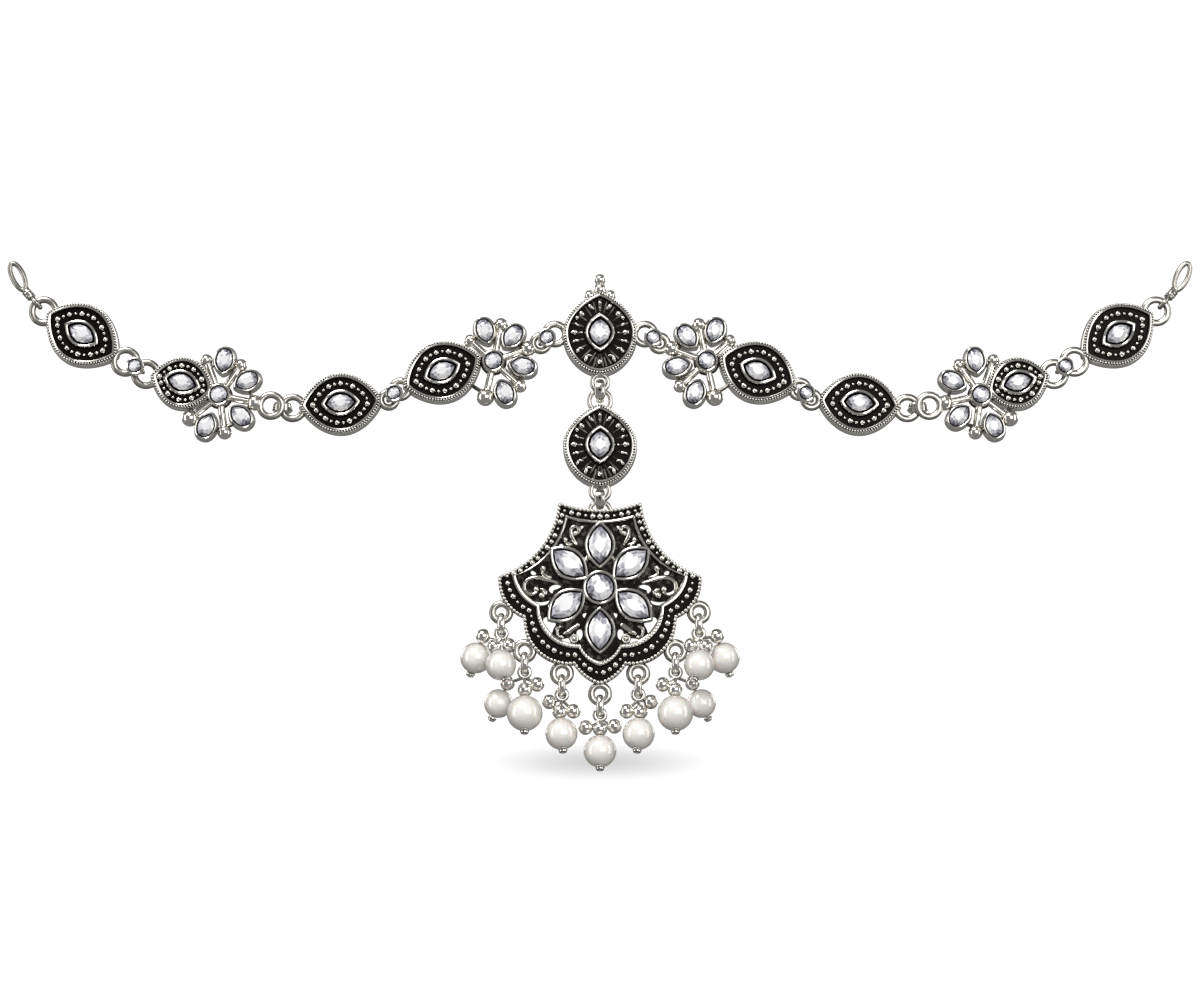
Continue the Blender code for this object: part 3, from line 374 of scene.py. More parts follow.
def almond(length: float, width: float, head: float, foot: float, steps: int) -> Flat:
    """Draw a pointed oval along X.

    Args:
        length: Tip to tip.
        width: Across its middle.
        head: 1 for a sharp end at +X and 0.5 for a round one.
        foot: The same for the end at -X.
        steps: Points along each side.

    Returns:
        The ring of points.
    """
    ring = []
    for step in range(2 * steps):
        turn = math.pi * step / steps
        power = head if math.cos(turn) > 0 else foot
        rise = abs(math.sin(turn)) ** (2 * power)
        across = math.copysign(width / 2 * rise, math.sin(turn))
        ring.append((length / 2 * math.cos(turn), across))
    return ring


def circle(diameter: float, sides: int) -> Flat:
    """Draw a round ring of points."""
    return [polar(diameter / 2, 360 * k / sides) for k in range(sides)]


def between(outer: Flat, inner: Flat, share: float) -> Flat:
    """Draw the ring at a share of the way from one ring to another."""
    return [
        (a + (c - a) * share, b + (d - b) * share) for (a, b), (c, d) in zip(outer, inner)
    ]


def evenly(ring: Flat, pitch: float, closed: bool = True) -> Flat:
    """Space points evenly along a ring.

    Args:
        ring: Its points.
        pitch: The wanted step.
        closed: Whether the last point joins the first.

    Returns:
        Points a whole number of equal steps apart.
    """
    line = np.array(ring + ring[:1] if closed else ring)
    steps = np.linalg.norm(np.diff(line, axis=0), axis=1)
    run = np.concatenate([[0.0], np.cumsum(steps)])
    count = max(2, round(run[-1] / pitch))
    marks = np.linspace(0.0, run[-1], count, endpoint=not closed)
    return [(float(np.interp(m, run, line[:, 0])), float(np.interp(m, run, line[:, 1]))) for m in marks]


def smooth(points: Solid, steps: int = 6, closed: bool = False) -> Solid:
    """Draw a smooth line through points.

    Args:
        points: The points that the line passes.
        steps: New points for each stretch.
        closed: Whether the last point joins the first.

    Returns:
        The points of the smooth line.
    """
    count = len(points)
    line = []
    stretches = count if closed else count - 1
    for k in range(stretches):
        if closed:
            around = [points[(k + j) % count] for j in (-1, 0, 1, 2)]
        else:
            around = [points[min(max(k + j, 0), count - 1)] for j in (-1, 0, 1, 2)]
        a, b, c, d = (np.array(p) for p in around)
        for step in range(steps):
            t = step / steps
            place = 0.5 * (
                2 * b + (c - a) * t + (2 * a - 5 * b + 4 * c - d) * t * t
                + (3 * b - a - 3 * c + d) * t * t * t
            )
            line.append(tuple(float(v) for v in place))
    if not closed:
        line.append(tuple(points[-1]))
    return line


# Metal, stone and pearl as meshes


@dataclass(frozen=True)
class Place:
    """Where a piece stands: its move in the jewel's plane, its depth, tilt and mirroring."""

    x: float = 0.0
    z: float = 0.0
    tilt: float = 0.0
    mirrored: bool = False
    y: float = 0.0

    def world(self, points: Solid) -> Solid:
        """Put points of the piece into the jewel.

        Args:
            points: Points in the piece's own frame.

        Returns:
            The same points in metres in the shared frame.
        """
        result = []
        for px, py, pz in points:
            x, z = spin(self.tilt, px, pz)
            x += self.x
            result.append((-x if self.mirrored else x, py + self.y, z + self.z))
        return result


class Casting:
    """Collects the shells of one piece, with a tone for each point and a skin for each face."""

    def __init__(self) -> None:
        """Start with nothing."""
        self.points: Solid = []
        self.faces: list[tuple[int, ...]] = []
        self.skins: list[int] = []
        self.tones: list[float] = []

    def add(
        self, points: Solid, faces: list[tuple[int, ...]], tones: list[float],
        skin: Skin = Skin.SILVER,
    ) -> None:
        """Add one closed shell.

        Args:
            points: Its points.
            faces: Its faces, by point number.
            tones: One tone for each point, 0 bright and 1 black.
            skin: The finish of its faces.
        """
        base = len(self.points)
        self.points += points
        self.faces += [tuple(base + k for k in face) for face in faces]
        self.tones += tones
        self.skins += [skin.value] * len(faces)

    def loft(
        self, rings: list[tuple[Flat, float, float]], skin: Skin = Skin.SILVER, ends: bool = True
    ) -> None:
        """Add a shell through flat rings.

        Args:
            rings: Each a ring, its depth and its tone.
            skin: The finish.
            ends: Cap the first and the last ring, or else join them.
        """
        size = len(rings[0][0])
        points = [(x, y, z) for ring, y, _ in rings for x, z in ring]
        tones = [tone for ring, _, tone in rings for _ in ring]
        faces = []
        rows = len(rings) - 1 if ends else len(rings)
        for row in range(rows):
            low, high = row * size, (row + 1) % len(rings) * size
            for k in range(size):
                after = (k + 1) % size
                faces.append((low + k, low + after, high + after, high + k))
        if ends:
            faces.append(tuple(range(size)))
            faces.append(tuple(range((len(rings) - 1) * size, len(rings) * size)))
        self.add(points, faces, tones, skin)

    def tube(
        self, path: Solid, diameter: float | list[float], sides: int = 10, closed: bool = False,
        tone: float = 0.0, tone_low: float | None = None, squash: float = 1.0,
        free: bool = False,
    ) -> None:
        """Add a round wire along a path.

        Args:
            path: The line of its middle.
            diameter: Its thickness, or one for each point.
            sides: Points around it.
            closed: Whether it is a loop.
            tone: Its tone in front.
            tone_low: Its tone behind, or for a free wire at its sides: painted shade, and where it lies
                on a floor also the oxide where it meets it.
            squash: Its depth as a share of its width.
            free: Whether it hangs free, so that its painted shade falls on its sides and its back is as
                bright as its front.
        """
        count = len(path)
        widths = diameter if isinstance(diameter, list) else [diameter] * count
        behind = tone if tone_low is None else tone_low
        points, tones, faces = [], [], []
        side_way = None
        for k in range(count):
            before = Vector(path[k - 1] if closed or k else path[0])
            after = Vector(path[(k + 1) % count] if closed or k < count - 1 else path[-1])
            ahead = (after - before).normalized()
            guess = side_way or ahead.orthogonal()
            if k == 0:
                guess = ahead.cross(Vector((0.0, 1.0, 0.0)))
                if guess.length < 0.05:
                    guess = ahead.cross(Vector((1.0, 0.0, 0.0)))
            side_way = (guess - ahead * guess.dot(ahead)).normalized()
            up = ahead.cross(side_way)
            for side in range(sides):
                turn = 2 * math.pi * side / sides
                reach = widths[k] / 2
                offset = side_way * (reach * math.cos(turn)) + up * (reach * squash * math.sin(turn))
                points.append(tuple(Vector(path[k]) + offset))
                # Painted shade: the tone darkens from the front towards the back, or for a free wire
                # from front and back towards its sides.
                depth = 0.5 + 0.5 * offset.y / max(reach, 1e-9)
                depth = min(depth, 1.0 - depth) if free else depth
                tones.append(tone + (behind - tone) * min(max(depth * 2.2 - 0.35, 0.0), 1.0))
        for k in range(count if closed else count - 1):
            row, after_row = k * sides, (k + 1) % count * sides
            for side in range(sides):
                beside = (side + 1) % sides
                faces.append((row + side, row + beside, after_row + beside, after_row + side))
        if not closed:
            faces.append(tuple(range(sides)))
            faces.append(tuple(range((count - 1) * sides, count * sides)))
        self.add(points, faces, tones)

    def ball(
        self, place: tuple[float, float, float], diameter: float, sides: int = 10, rows: int = 6,
        foot_and_shade_tone: float = 0.0, stretch: tuple[float, float, float] = (1.0, 1.0, 1.0),
        angle: float = 0.0, free: bool = False,
    ) -> None:
        """Add a bead or a grain.

        Args:
            place: Its middle.
            diameter: Its size.
            sides: Points around it.
            rows: Rows from pole to pole.
            foot_and_shade_tone: Its tone at the back, where it meets the floor, and painted shade
                towards its back or, when free, its sides.
            stretch: Its share of that size along X, Y and Z.
            angle: Its turn in the jewel's plane, in degrees.
            free: Whether its back is as bright as its front, its painted shade then falling on its
                sides.
        """
        half = diameter / 2
        points, tones, faces = [], [], []
        for row in range(1, rows):
            turn = math.pi * row / rows
            for side in range(sides):
                around = 2 * math.pi * side / sides
                x = half * math.sin(turn) * math.cos(around) * stretch[0]
                z = half * math.sin(turn) * math.sin(around) * stretch[2]
                y = -half * math.cos(turn) * stretch[1]
                x, z = spin(angle, x, z)
                points.append((place[0] + x, place[1] + y, place[2] + z))
                # Painted shade: darker towards the back, or for a free ball towards its sides; a grain
                # on a floor also takes the floor's oxide at its foot.
                depth = 0.5 - 0.5 * math.cos(turn)
                depth = min(depth, 1.0 - depth) if free else depth
                tones.append(foot_and_shade_tone * min(max(depth * 2.2 - 0.55, 0.0), 1.0))
        first, last = len(points), len(points) + 1
        points.append((place[0], place[1] - half * stretch[1], place[2]))
        points.append((place[0], place[1] + half * stretch[1], place[2]))
        tones += [0.0, 0.0 if free else foot_and_shade_tone]
        for side in range(sides):
            beside = (side + 1) % sides
            faces.append((first, beside, side))
            bottom = (rows - 2) * sides
            faces.append((last, bottom + side, bottom + beside))
            for row in range(rows - 2):
                low = row * sides
                faces.append((low + side, low + beside, low + sides + beside, low + sides + side))
        self.add(points, faces, tones)

    def ring(
        self, x: float, z: float, y: float, outer: float, wire: float, sides: int = 40,
        tone: float = 0.20, stout: float = STOUT,
    ) -> None:
        """Add an eye of wire that lies in the jewel's plane, stouter across than deep.

        Args:
            x: Its middle.
            z: Its height.
            y: Its depth.
            outer: Its outer size.
            wire: The depth of its wire.
            sides: Points around it.
            tone: Its tone in front.
            stout: How much stouter the wire is across than deep.
        """
        middle = outer - wire * (STOUT_REACH if stout > 1.0 else 1.0)
        path = [(x + dx, y, z + dz) for dx, dz in circle(middle, sides)]
        # Painted shade darkens the sides of the eye's wire.
        self.tube(
            path, wire * stout, 14, closed=True, tone=tone, tone_low=1.0, squash=1.0 / stout,
            free=True,
        )

    def beads(
        self, line: Flat, y: float, diameter: float, foot_and_shade_tone: float = 0.8, sides: int = 6,
        rows: int = 4,
    ) -> None:
        """Add a row of milgrain beads at the points of a line."""
        for x, z in line:
            self.ball((x, y, z), diameter, sides, rows, foot_and_shade_tone)

    def gem(
        self, girdle: Flat, seat: float, front: float, rise: float, heading: float,
        table: float = 0.42,
    ) -> None:
        """Add a cut stone whose facets are separate and flat, each painted with a reflection tone.

        Args:
            girdle: Its outline.
            seat: The depth of its back.
            front: The depth of its girdle.
            rise: How far its table stands out.
            heading: The direction of its long axis, in degrees.
            table: The table's share of the outline.
        """
        size = len(girdle)
        middle_x = sum(p[0] for p in girdle) / size
        middle_z = sum(p[1] for p in girdle) / size

        def scaled(share: float, half_step: bool) -> Flat:
            """Shrink the outline about its middle, and shift it by half a step.

            Args:
                share: How much of its size is kept.
                half_step: Whether to start half a step later.

            Returns:
                The ring of points.
            """
            source = girdle
            if half_step:
                source = [
                    ((girdle[k][0] + girdle[(k + 1) % size][0]) / 2,
                     (girdle[k][1] + girdle[(k + 1) % size][1]) / 2) for k in range(size)
                ]
            return [
                (middle_x + (x - middle_x) * share, middle_z + (z - middle_z) * share)
                for x, z in source
            ]

        long_way = Vector(polar(1.0, heading))
        reach = max(abs((Vector(p) - Vector((middle_x, middle_z))).dot(long_way)) for p in girdle)
        crown = scaled(0.76, True)
        top = scaled(table, False)
        lift = front - rise
        rows = (
            [(x, front, z) for x, z in girdle],
            [(x, front - rise * 0.62, z) for x, z in crown],
            [(x, lift, z) for x, z in top],
        )

        def facet(corners: Solid, number: int) -> None:
            """Add one flat facet with a painted reflection tone from its place along and across the
            stone.

            Args:
                corners: Its corners.
                number: Its number, which picks its tone.
            """
            centre_x = sum(p[0] for p in corners) / len(corners) - middle_x
            centre_z = sum(p[2] for p in corners) / len(corners) - middle_z
            along = (centre_x * long_way.x + centre_z * long_way.y) / max(reach, 1e-9)
            across = (centre_z * long_way.x - centre_x * long_way.y) / max(reach, 1e-9)
            # Painted reflection and shade: lighter in the middle, darker towards the ends and to one
            # side, varied facet by facet.
            tone = 0.02 + 1.05 * abs(along) ** 1.4
            tone += (0.14, -0.12, 0.06, 0.26, -0.14)[number % 5] + 0.25 * across
            tone = min(max(tone, 0.0), 1.0)
            self.add(corners, [tuple(range(len(corners)))], [tone] * len(corners), Skin.STONE)

        number = 0
        for k in range(size):
            after = (k + 1) % size
            facet([rows[0][k], rows[0][after], rows[1][k]], number)
            facet([rows[0][after], rows[1][after], rows[1][k]], number + 2)
            facet([rows[1][k], rows[1][after], rows[2][after]], number + 1)
            facet([rows[2][k], rows[1][k], rows[2][after]], number + 3)
            number += 1
        facet(list(rows[2]), 1)
        back = [(x, seat, z) for x, z in scaled(0.9, False)]
        for k in range(size):
            after = (k + 1) % size
            facet([rows[0][after], rows[0][k], back[k], back[after]], 3)
        facet(list(reversed(back)), 3)

    def sheet(
        self, outline: Flat, holes: list[Flat], back: float, front: float, tone: float
    ) -> None:
        """Add a flat sheet that is pierced right through.

        Args:
            outline: Its edge.
            holes: The edges of its gaps.
            back: The depth of its back.
            front: The depth of its face.
            tone: The tone of its face.
        """
        corners, edges, loops = [], [], []
        for loop in [outline, *holes]:
            base = len(corners)
            corners += [Vector(p) for p in loop]
            edges += [(base + k, base + (k + 1) % len(loop)) for k in range(len(loop))]
            loops.append(list(range(base, base + len(loop))))
        verts, _, faces, _, _, _ = delaunay_2d_cdt(corners, edges, [], 1, 1e-7)
        keep = []
        for face in faces:
            middle = sum((verts[k] for k in face), Vector((0.0, 0.0))) / len(face)
            if inside(middle, outline) and not any(inside(middle, hole) for hole in holes):
                keep.append(tuple(face))
        count = len(verts)
        points = [(v.x, front, v.y) for v in verts] + [(v.x, back, v.y) for v in verts]
        sides = {}
        for face in keep:
            for k in range(len(face)):
                edge = (face[k], face[(k + 1) % len(face)])
                sides[tuple(sorted(edge))] = sides.get(tuple(sorted(edge)), []) + [edge]
        solid = keep + [tuple(count + k for k in reversed(face)) for face in keep]
        for used in sides.values():
            if len(used) == 1:
                a, b = used[0]
                solid.append((b, a, count + a, count + b))
        self.add(points, solid, [tone] * count + [0.3] * count)

    def finish(
        self, name: str, place: Place, materials: list[bpy.types.Material], slot: str,
        body: str, nodes: list[str],
    ) -> bpy.types.Object:
        """Turn what was collected into one piece of the jewel.

        Args:
            name: The piece's name.
            place: Where it stands.
            materials: The materials for silver, stone and pearl faces.
            slot: The record's finish; not used.
            body: The body that it rides on.
            nodes: The plain solids that it stands for.

        Returns:
            The new object.
        """
        mesh = bpy.data.meshes.new(name)
        mesh.from_pydata(place.world(self.points), [], self.faces)
        mesh.polygons.foreach_set("material_index", self.skins)
        tone = mesh.attributes.new("tone", "FLOAT", "POINT")
        tone.data.foreach_set("value", self.tones)
        work = bmesh.new()
        work.from_mesh(mesh)
        bmesh.ops.recalc_face_normals(work, faces=work.faces[:])
        work.to_mesh(mesh)
        work.free()
        mesh.shade_smooth()
        mesh.set_sharp_from_angle(angle=math.radians(38))
        for material in materials:
            mesh.materials.append(material)
        obj = bpy.data.objects.new(name, mesh)
        bpy.context.scene.collection.objects.link(obj)
        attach(obj, body)
        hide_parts(*nodes)
        log.info("%s: %d points, %d faces", name, len(self.points), len(self.faces))
        return obj


def inside(point: Vector, ring: Flat) -> bool:
    """Say whether a flat point lies inside a ring.

    Args:
        point: The point, with Z as its second number.
        ring: The ring of corners.

    Returns:
        True when the point is inside.
    """
    hit = False
    count = len(ring)
    for k in range(count):
        x1, z1 = ring[k]
        x2, z2 = ring[(k + 1) % count]
        if (z1 > point.y) != (z2 > point.y):
            if point.x < (x2 - x1) * (point.y - z1) / (z2 - z1) + x1:
                hit = not hit
    return hit


# Plates, flowers and links of the band


class Relief(Enum):
    """How a plate's floor is filled."""

    GRAINS = "a ring of mixed round grains"
    TICKS = "radial ticks with a round grain at each tip"


# The ticks of the right half of an upright plate: X, Z, turn in degrees, length and width in mm
TICKS = (
    (2.31, 6.55, 45.0, 1.7, 0.8), (4.55, 4.78, 40.0, 1.4, 1.0), (5.75, 3.75, 10.0, 1.0, 0.9),
    (5.74, 2.07, 30.0, 1.2, 0.6), (6.45, 0.08, 0.0, 1.6, 1.1), (5.75, -2.0, -10.0, 1.3, 0.65),
    (6.55, -2.2, -50.0, 0.8, 0.55), (4.75, -3.95, 5.0, 1.2, 0.6), (5.6, -4.55, -60.0, 1.2, 0.7),
    (2.65, -5.75, 0.0, 1.1, 0.65), (3.5, -6.55, -75.0, 1.5, 0.8), (4.55, 0.0, 0.0, 0.7, 0.5),
)
MIDLINE = ((7.55, 1.15), (6.25, 0.6), (-7.35, 1.55))


@dataclass
class AlmondPlate:
    """A deep almond plate with a raised rim, a blackened floor, grains, a bezel and a stone."""

    length: float
    width: float
    bezel_length: float
    bezel_width: float
    head: float = 0.88
    foot: float = 0.88
    relief: Relief = Relief.GRAINS
    rim: float = 0.00105
    floor: float = -0.0030
    front: float = -PLATE_DEPTH
    draft: float = 0.0005
    grain_pitch: float = 0.00158
    steps: int = 44
    x: float = 0.0
    z: float = 0.0
    angle: float = 0.0

    def outline(self, inset: float) -> Flat:
        """Draw the plate's edge, inset by a width, where the plate stands.

        Args:
            inset: How far inside the edge, in metres.

        Returns:
            The ring of points.
        """
        ring = almond(
            self.length - 2.6 * inset, self.width - 2 * inset, self.head, self.foot, self.steps
        )
        return moved(ring, self.x, self.z, self.angle)

    def bezel(self, inset: float, steps: int | None = None) -> Flat:
        """Draw the bezel's edge, inset by a width, where the plate stands.

        Args:
            inset: How far inside the bezel, in metres.
            steps: Points for each arc, or None for the plate's own.

        Returns:
            The ring of points.
        """
        ring = almond(
            self.bezel_length - 2.8 * inset, self.bezel_width - 2 * inset, 0.85, 0.85,
            steps or self.steps,
        )
        return moved(ring, self.x, self.z, self.angle)

    def cast(self, casting: Casting) -> None:
        """Cast the plate, its rim, its relief and its bezel.

        Args:
            casting: Where the shells go.
        """
        front, floor = self.front, self.floor
        casting.loft([
            (self.outline(-self.draft), 0.0, 0.22),
            (self.outline(-self.draft), -0.0004, 0.30),
            (self.outline(-self.draft * 0.5), front * 0.42, 0.12),
            (self.outline(-self.draft * 0.2), front * 0.66, 0.08),
            (self.outline(0.00010), front * 0.72, 0.95),
            (self.outline(0.00010), front * 0.80, 0.9),
            (self.outline(0.0), front * 0.88, 0.55),
            (self.outline(self.rim * 0.08), front * 0.95, 0.9),
            (self.outline(self.rim * 0.40), front * 0.95, 0.95),
            (self.outline(self.rim * 0.46), front - 0.00005, 0.15),
            (self.outline(self.rim * 0.60), front - 0.00015, 0.0),
            (self.outline(self.rim * 0.84), front - 0.00008, 0.0),
            (self.outline(self.rim * 0.95), front * 0.93, 0.45),
            (self.outline(self.rim), front * 0.84, 1.0),
            (self.outline(self.rim + 0.0001), floor, 1.0),
            (self.bezel(-0.0002), floor, 1.0),
            (self.bezel(-0.0001), front * 0.9, 0.95),
            (self.bezel(0.0), front - 0.0002, 0.25),
            (self.bezel(0.00015), front - 0.0005, 0.0),
            (self.bezel(0.0004), front - 0.0006, 0.0),
            (self.bezel(0.00068), front - 0.0005, 0.02),
            (self.bezel(0.0008), front - 0.0002, 0.7),
            (self.bezel(0.0009), front + 0.0003, 1.0),
            (self.bezel(0.00115), front + 0.0007, 1.0),
        ])
        wall_line = evenly(self.outline(-0.00002), 0.00066)
        casting.beads(wall_line, front * 0.76, 0.00055, 0.4, 6, 4)
        rim_line = evenly(self.outline(self.rim * 0.22), 0.00070)
        casting.beads(rim_line, front * 0.955, 0.00062, 0.9, 7, 5)
        if self.relief is Relief.GRAINS:
            self._grains(casting)
        else:
            self._septa(casting)
            self._ticks(casting)

    def _septa(self, casting: Casting) -> None:
        """Raise low dark ridges between the bezel and the rim.

        Args:
            casting: Where the shells go.
        """
        edge, bezel = self.outline(self.rim), self.bezel(-0.0001)
        count = len(edge)
        for k in range(2, count, 4):
            near, far = bezel[k], edge[k]
            path = []
            for share in (0.12, 0.4, 0.7, 0.92):
                x = near[0] + (far[0] - near[0]) * share
                z = near[1] + (far[1] - near[1]) * share
                path.append((x, self.floor + 0.00005, z))
            casting.tube(path, [0.0004, 0.0007, 0.0008, 0.0005], 6, tone=0.70, tone_low=1.0)

    def _grains(self, casting: Casting) -> None:
        """Raise the mixed round grains on the floor.

        Args:
            casting: Where the shells go.
        """
        edge = self.outline(self.rim + 0.0001)
        middle = between(edge, self.bezel(-0.0001), 0.46)
        sizes = (1.50, 0.85, 1.30, 0.78, 1.42, 0.90, 1.35, 0.75)
        for k, (x, z) in enumerate(evenly(middle, self.grain_pitch)):
            size = sizes[k % len(sizes)] * 0.00112
            casting.ball((x, self.floor - 0.00035, z), size, 12, 8, 0.9, (1.0, 1.15, 1.0))

    def _ticks(self, casting: Casting) -> None:
        """Raise the radial ticks and the grains of the middle line.

        Args:
            casting: Where the shells go.
        """
        y = self.floor - 0.0001
        for sign in (1, -1):
            for tx, tz, turn, long, wide in TICKS:
                x, z = spin(self.angle - 90.0, sign * tx * 0.001, tz * 0.001)
                heading = (turn if sign > 0 else 180.0 - turn) + self.angle - 90.0
                casting.ball(
                    (self.x + x, y, self.z + z), 0.00138, 12, 8, 0.95,
                    (long, wide * 1.4, wide), heading,
                )
        for tz, size in MIDLINE:
            x, z = spin(self.angle - 90.0, 0.0, tz * 0.001)
            casting.ball((self.x + x, y, self.z + z), size * 0.001, 12, 6, 0.9, (1, 1.3, 1))
        for sign in (1, -1):
            line = [(sign * 0.0017, y, -0.0086), (sign * 0.0013, y, -0.0074),
                    (sign * 0.0010, y, -0.0062)]
            path = smooth([(self.x + spin(self.angle - 90.0, px, pz)[0], py,
                            self.z + spin(self.angle - 90.0, px, pz)[1]) for px, py, pz in line])
            casting.tube(path, 0.00055, 8, tone=0.5, tone_low=1.0)

    def stone(self, casting: Casting) -> None:
        """Set the cut stone in its bezel."""
        casting.gem(
            self.bezel(0.0012, 6), self.front + 0.0007, self.front - 0.0001, 0.0008, self.angle
        )


@dataclass
class Cup:
    """A stone in a plain bezel: a petal of a flower, or a flower's heart."""

    outline: Flat
    heading: float
    back: float
    front: float
    wall: float = 0.0005
    line: float = 0.0003
    rise: float = 0.0007
    flare: float = 0.00025
    facets: int = 7

    def inset(self, width: float) -> Flat:
        """Draw the outline shrunk by a width towards its middle.

        Args:
            width: How far inside the outline, in metres.

        Returns:
            The ring of points.
        """
        middle_x = sum(p[0] for p in self.outline) / len(self.outline)
        middle_z = sum(p[1] for p in self.outline) / len(self.outline)
        ring = []
        count = len(self.outline)
        for k, (x, z) in enumerate(self.outline):
            bx, bz = self.outline[k - 1]
            ax, az = self.outline[(k + 1) % count]
            out_x, out_z = az - bz, bx - ax
            size = math.hypot(out_x, out_z) or 1.0
            out_x, out_z = out_x / size, out_z / size
            if out_x * (x - middle_x) + out_z * (z - middle_z) < 0:
                out_x, out_z = -out_x, -out_z
            ring.append((x - out_x * width, z - out_z * width))
        return ring

    def cast(self, casting: Casting) -> None:
        """Cast the bezel and set its stone.

        Args:
            casting: Where the shells go.
        """
        wall, front = self.wall, self.front
        casting.loft([
            (self.inset(-self.flare), self.back, 0.25),
            (self.inset(-self.flare), self.back - 0.0003, 0.3),
            (self.inset(-self.flare * 0.4), (self.back + front) / 2, 0.22),
            (self.inset(0.0), front + 0.0004, 0.12),
            (self.inset(wall * 0.2), front + 0.00004, 0.0),
            (self.inset(wall * 0.5), front - 0.00006, 0.0),
            (self.inset(wall * 0.85), front + 0.00004, 0.05),
            (self.inset(wall), front + 0.0003, 0.85),
            (self.inset(wall + self.line * 0.4), front + 0.0006, 1.0),
            (self.inset(wall + self.line), front + 0.0006, 1.0),
        ])
        size = len(self.outline)
        inner = self.inset(wall + self.line * 0.8)
        step = max(1, size // (2 * self.facets))
        casting.gem(inner[::step], front + 0.0008, front + 0.00005, self.rise, self.heading, 0.45)


def ring_chain(
    eye: tuple[float, float], outer_one: float, outer_two: float, angle: float
) -> tuple[tuple[float, float], tuple[float, float]]:
    """Step from one eye to the next.

    Args:
        eye: The first eye's middle.
        outer_one: Its outer size.
        outer_two: The next eye's outer size.
        angle: The way to it, in degrees.

    Returns:
        The next eye's middle, and where the two wires cross.
    """
    first = (outer_one - EYE_WIRE) / 2
    both = first + (outer_two - EYE_WIRE) / 2
    near, far = polar(first, angle), polar(both, angle)
    return (eye[0] + far[0], eye[1] + far[1]), (eye[0] + near[0], eye[1] + near[1])


@dataclass
class FlowerMotif:
    """A flower of four stone petals and five balls, cast in one with an almond leaf."""

    name: str
    petals: tuple[tuple[float, float], ...]
    balls: tuple[tuple[float, float, float], ...]
    eye_ball: tuple[float, float, float]
    leaf_angle: float
    leaf_tilt: float
    leaf: AlmondPlate
    inner_size: float
    outer_size: float
    reach: float = 0.0080
    tuck: float = 0.0030
    heart: float = 0.0056
    petal_length: float = 0.0071
    petal_width: float = 0.0053
    petal_out: float = 0.00035
    hub: float = 0.0066
    frame_ring: float = 0.0158
    frame_wire: float = 0.0010
    stem: float = 0.0018
    stem_foot: float = 0.0026
    ball_full: float = 1.2
    eye_in: float = 0.0014
    back: float = -0.0006
    depth: float = 0.0034
    inner: tuple[float, float] = field(init=False)
    outer: tuple[float, float] = field(init=False)

    def __post_init__(self) -> None:
        """Place the leaf and both eyes."""
        self.leaf.x, self.leaf.z = polar(self.leaf.length / 2 + self.tuck, self.leaf_angle)
        self.leaf.angle = self.leaf_tilt
        angle, share, size = self.eye_ball
        self.inner = polar(self.reach * share + size / 2 + self.inner_size / 2 - 0.0008, angle)
        dx, dz = polar(self.leaf.length / 2 + self.outer_size / 2 - self.eye_in, self.leaf_tilt)
        self.outer = (self.leaf.x + dx, self.leaf.z + dz)

    def cast(self) -> Casting:
        """Cast the whole motif.

        Returns:
            Its shells.
        """
        casting = Casting()
        self.leaf.cast(casting)
        self.leaf.stone(casting)
        front = self.back - self.depth
        hub = circle(self.hub, 40)
        casting.loft([(hub, self.back - 0.0002, 0.4), (hub, self.back - 0.0010, 0.85)])
        # The wire ring behind the petals is darkened as painted shade, so that it reads as their
        # contact shadow.
        casting.tube(
            [(x, self.back - 0.0009, z) for x, z in circle(self.frame_ring, 72)],
            self.frame_wire, 8, closed=True,
            tone=0.62, tone_low=0.95, free=True,
        )
        for angle, share, _ in (*self.balls, self.eye_ball):
            near, far = polar(self.stem_foot, angle), polar(self.reach * share, angle)
            casting.tube(
                [(near[0], self.back - 0.0013, near[1]), (far[0], self.back - 0.0013, far[1])],
                self.stem, 10, tone=0.0, tone_low=0.95, free=True,
            )
        for angle, share in self.petals:
            x, z = polar(self.reach * share + self.petal_out, angle)
            ring = almond(self.petal_length, self.petal_width, 0.80, 0.42, 21)
            Cup(moved(ring, x, z, angle + 180), angle, self.back, front, flare=0.00042).cast(casting)
        Cup(
            circle(self.heart, 42), 60.0, self.back, front - 0.0005, wall=0.0006, flare=0.00035
        ).cast(casting)
        for angle, share, size in (*self.balls, self.eye_ball):
            x, z = polar(self.reach * share, angle)
            casting.ball(
                (x, self.back - size * 0.42, z), size * self.ball_full, 24, 14, 0.95, free=True
            )
        casting.ring(*self.inner, MID - STACK, self.inner_size, EYE_WIRE)
        casting.ring(*self.outer, MID + STACK, self.outer_size, EYE_WIRE)
        return casting


@dataclass
class LeafMotif:
    """An almond plate with an eye at each tip."""

    name: str
    leaf: AlmondPlate
    inner_size: float
    outer_size: float
    inner_out: float
    outer_out: float
    inner: tuple[float, float] = field(init=False)
    outer: tuple[float, float] = field(init=False)

    def __post_init__(self) -> None:
        """Place both eyes."""
        self.inner = (-(self.leaf.length / 2 + self.inner_out), 0.0)
        self.outer = (self.leaf.length / 2 + self.outer_out, 0.0)

    def cast(self) -> Casting:
        """Cast the plate and its eyes.

        Returns:
            Their shells.
        """
        casting = Casting()
        self.leaf.cast(casting)
        self.leaf.stone(casting)
        casting.ring(*self.inner, MID - STACK, self.inner_size, EYE_WIRE)
        casting.ring(*self.outer, MID + STACK, self.outer_size, EYE_WIRE)
        return casting


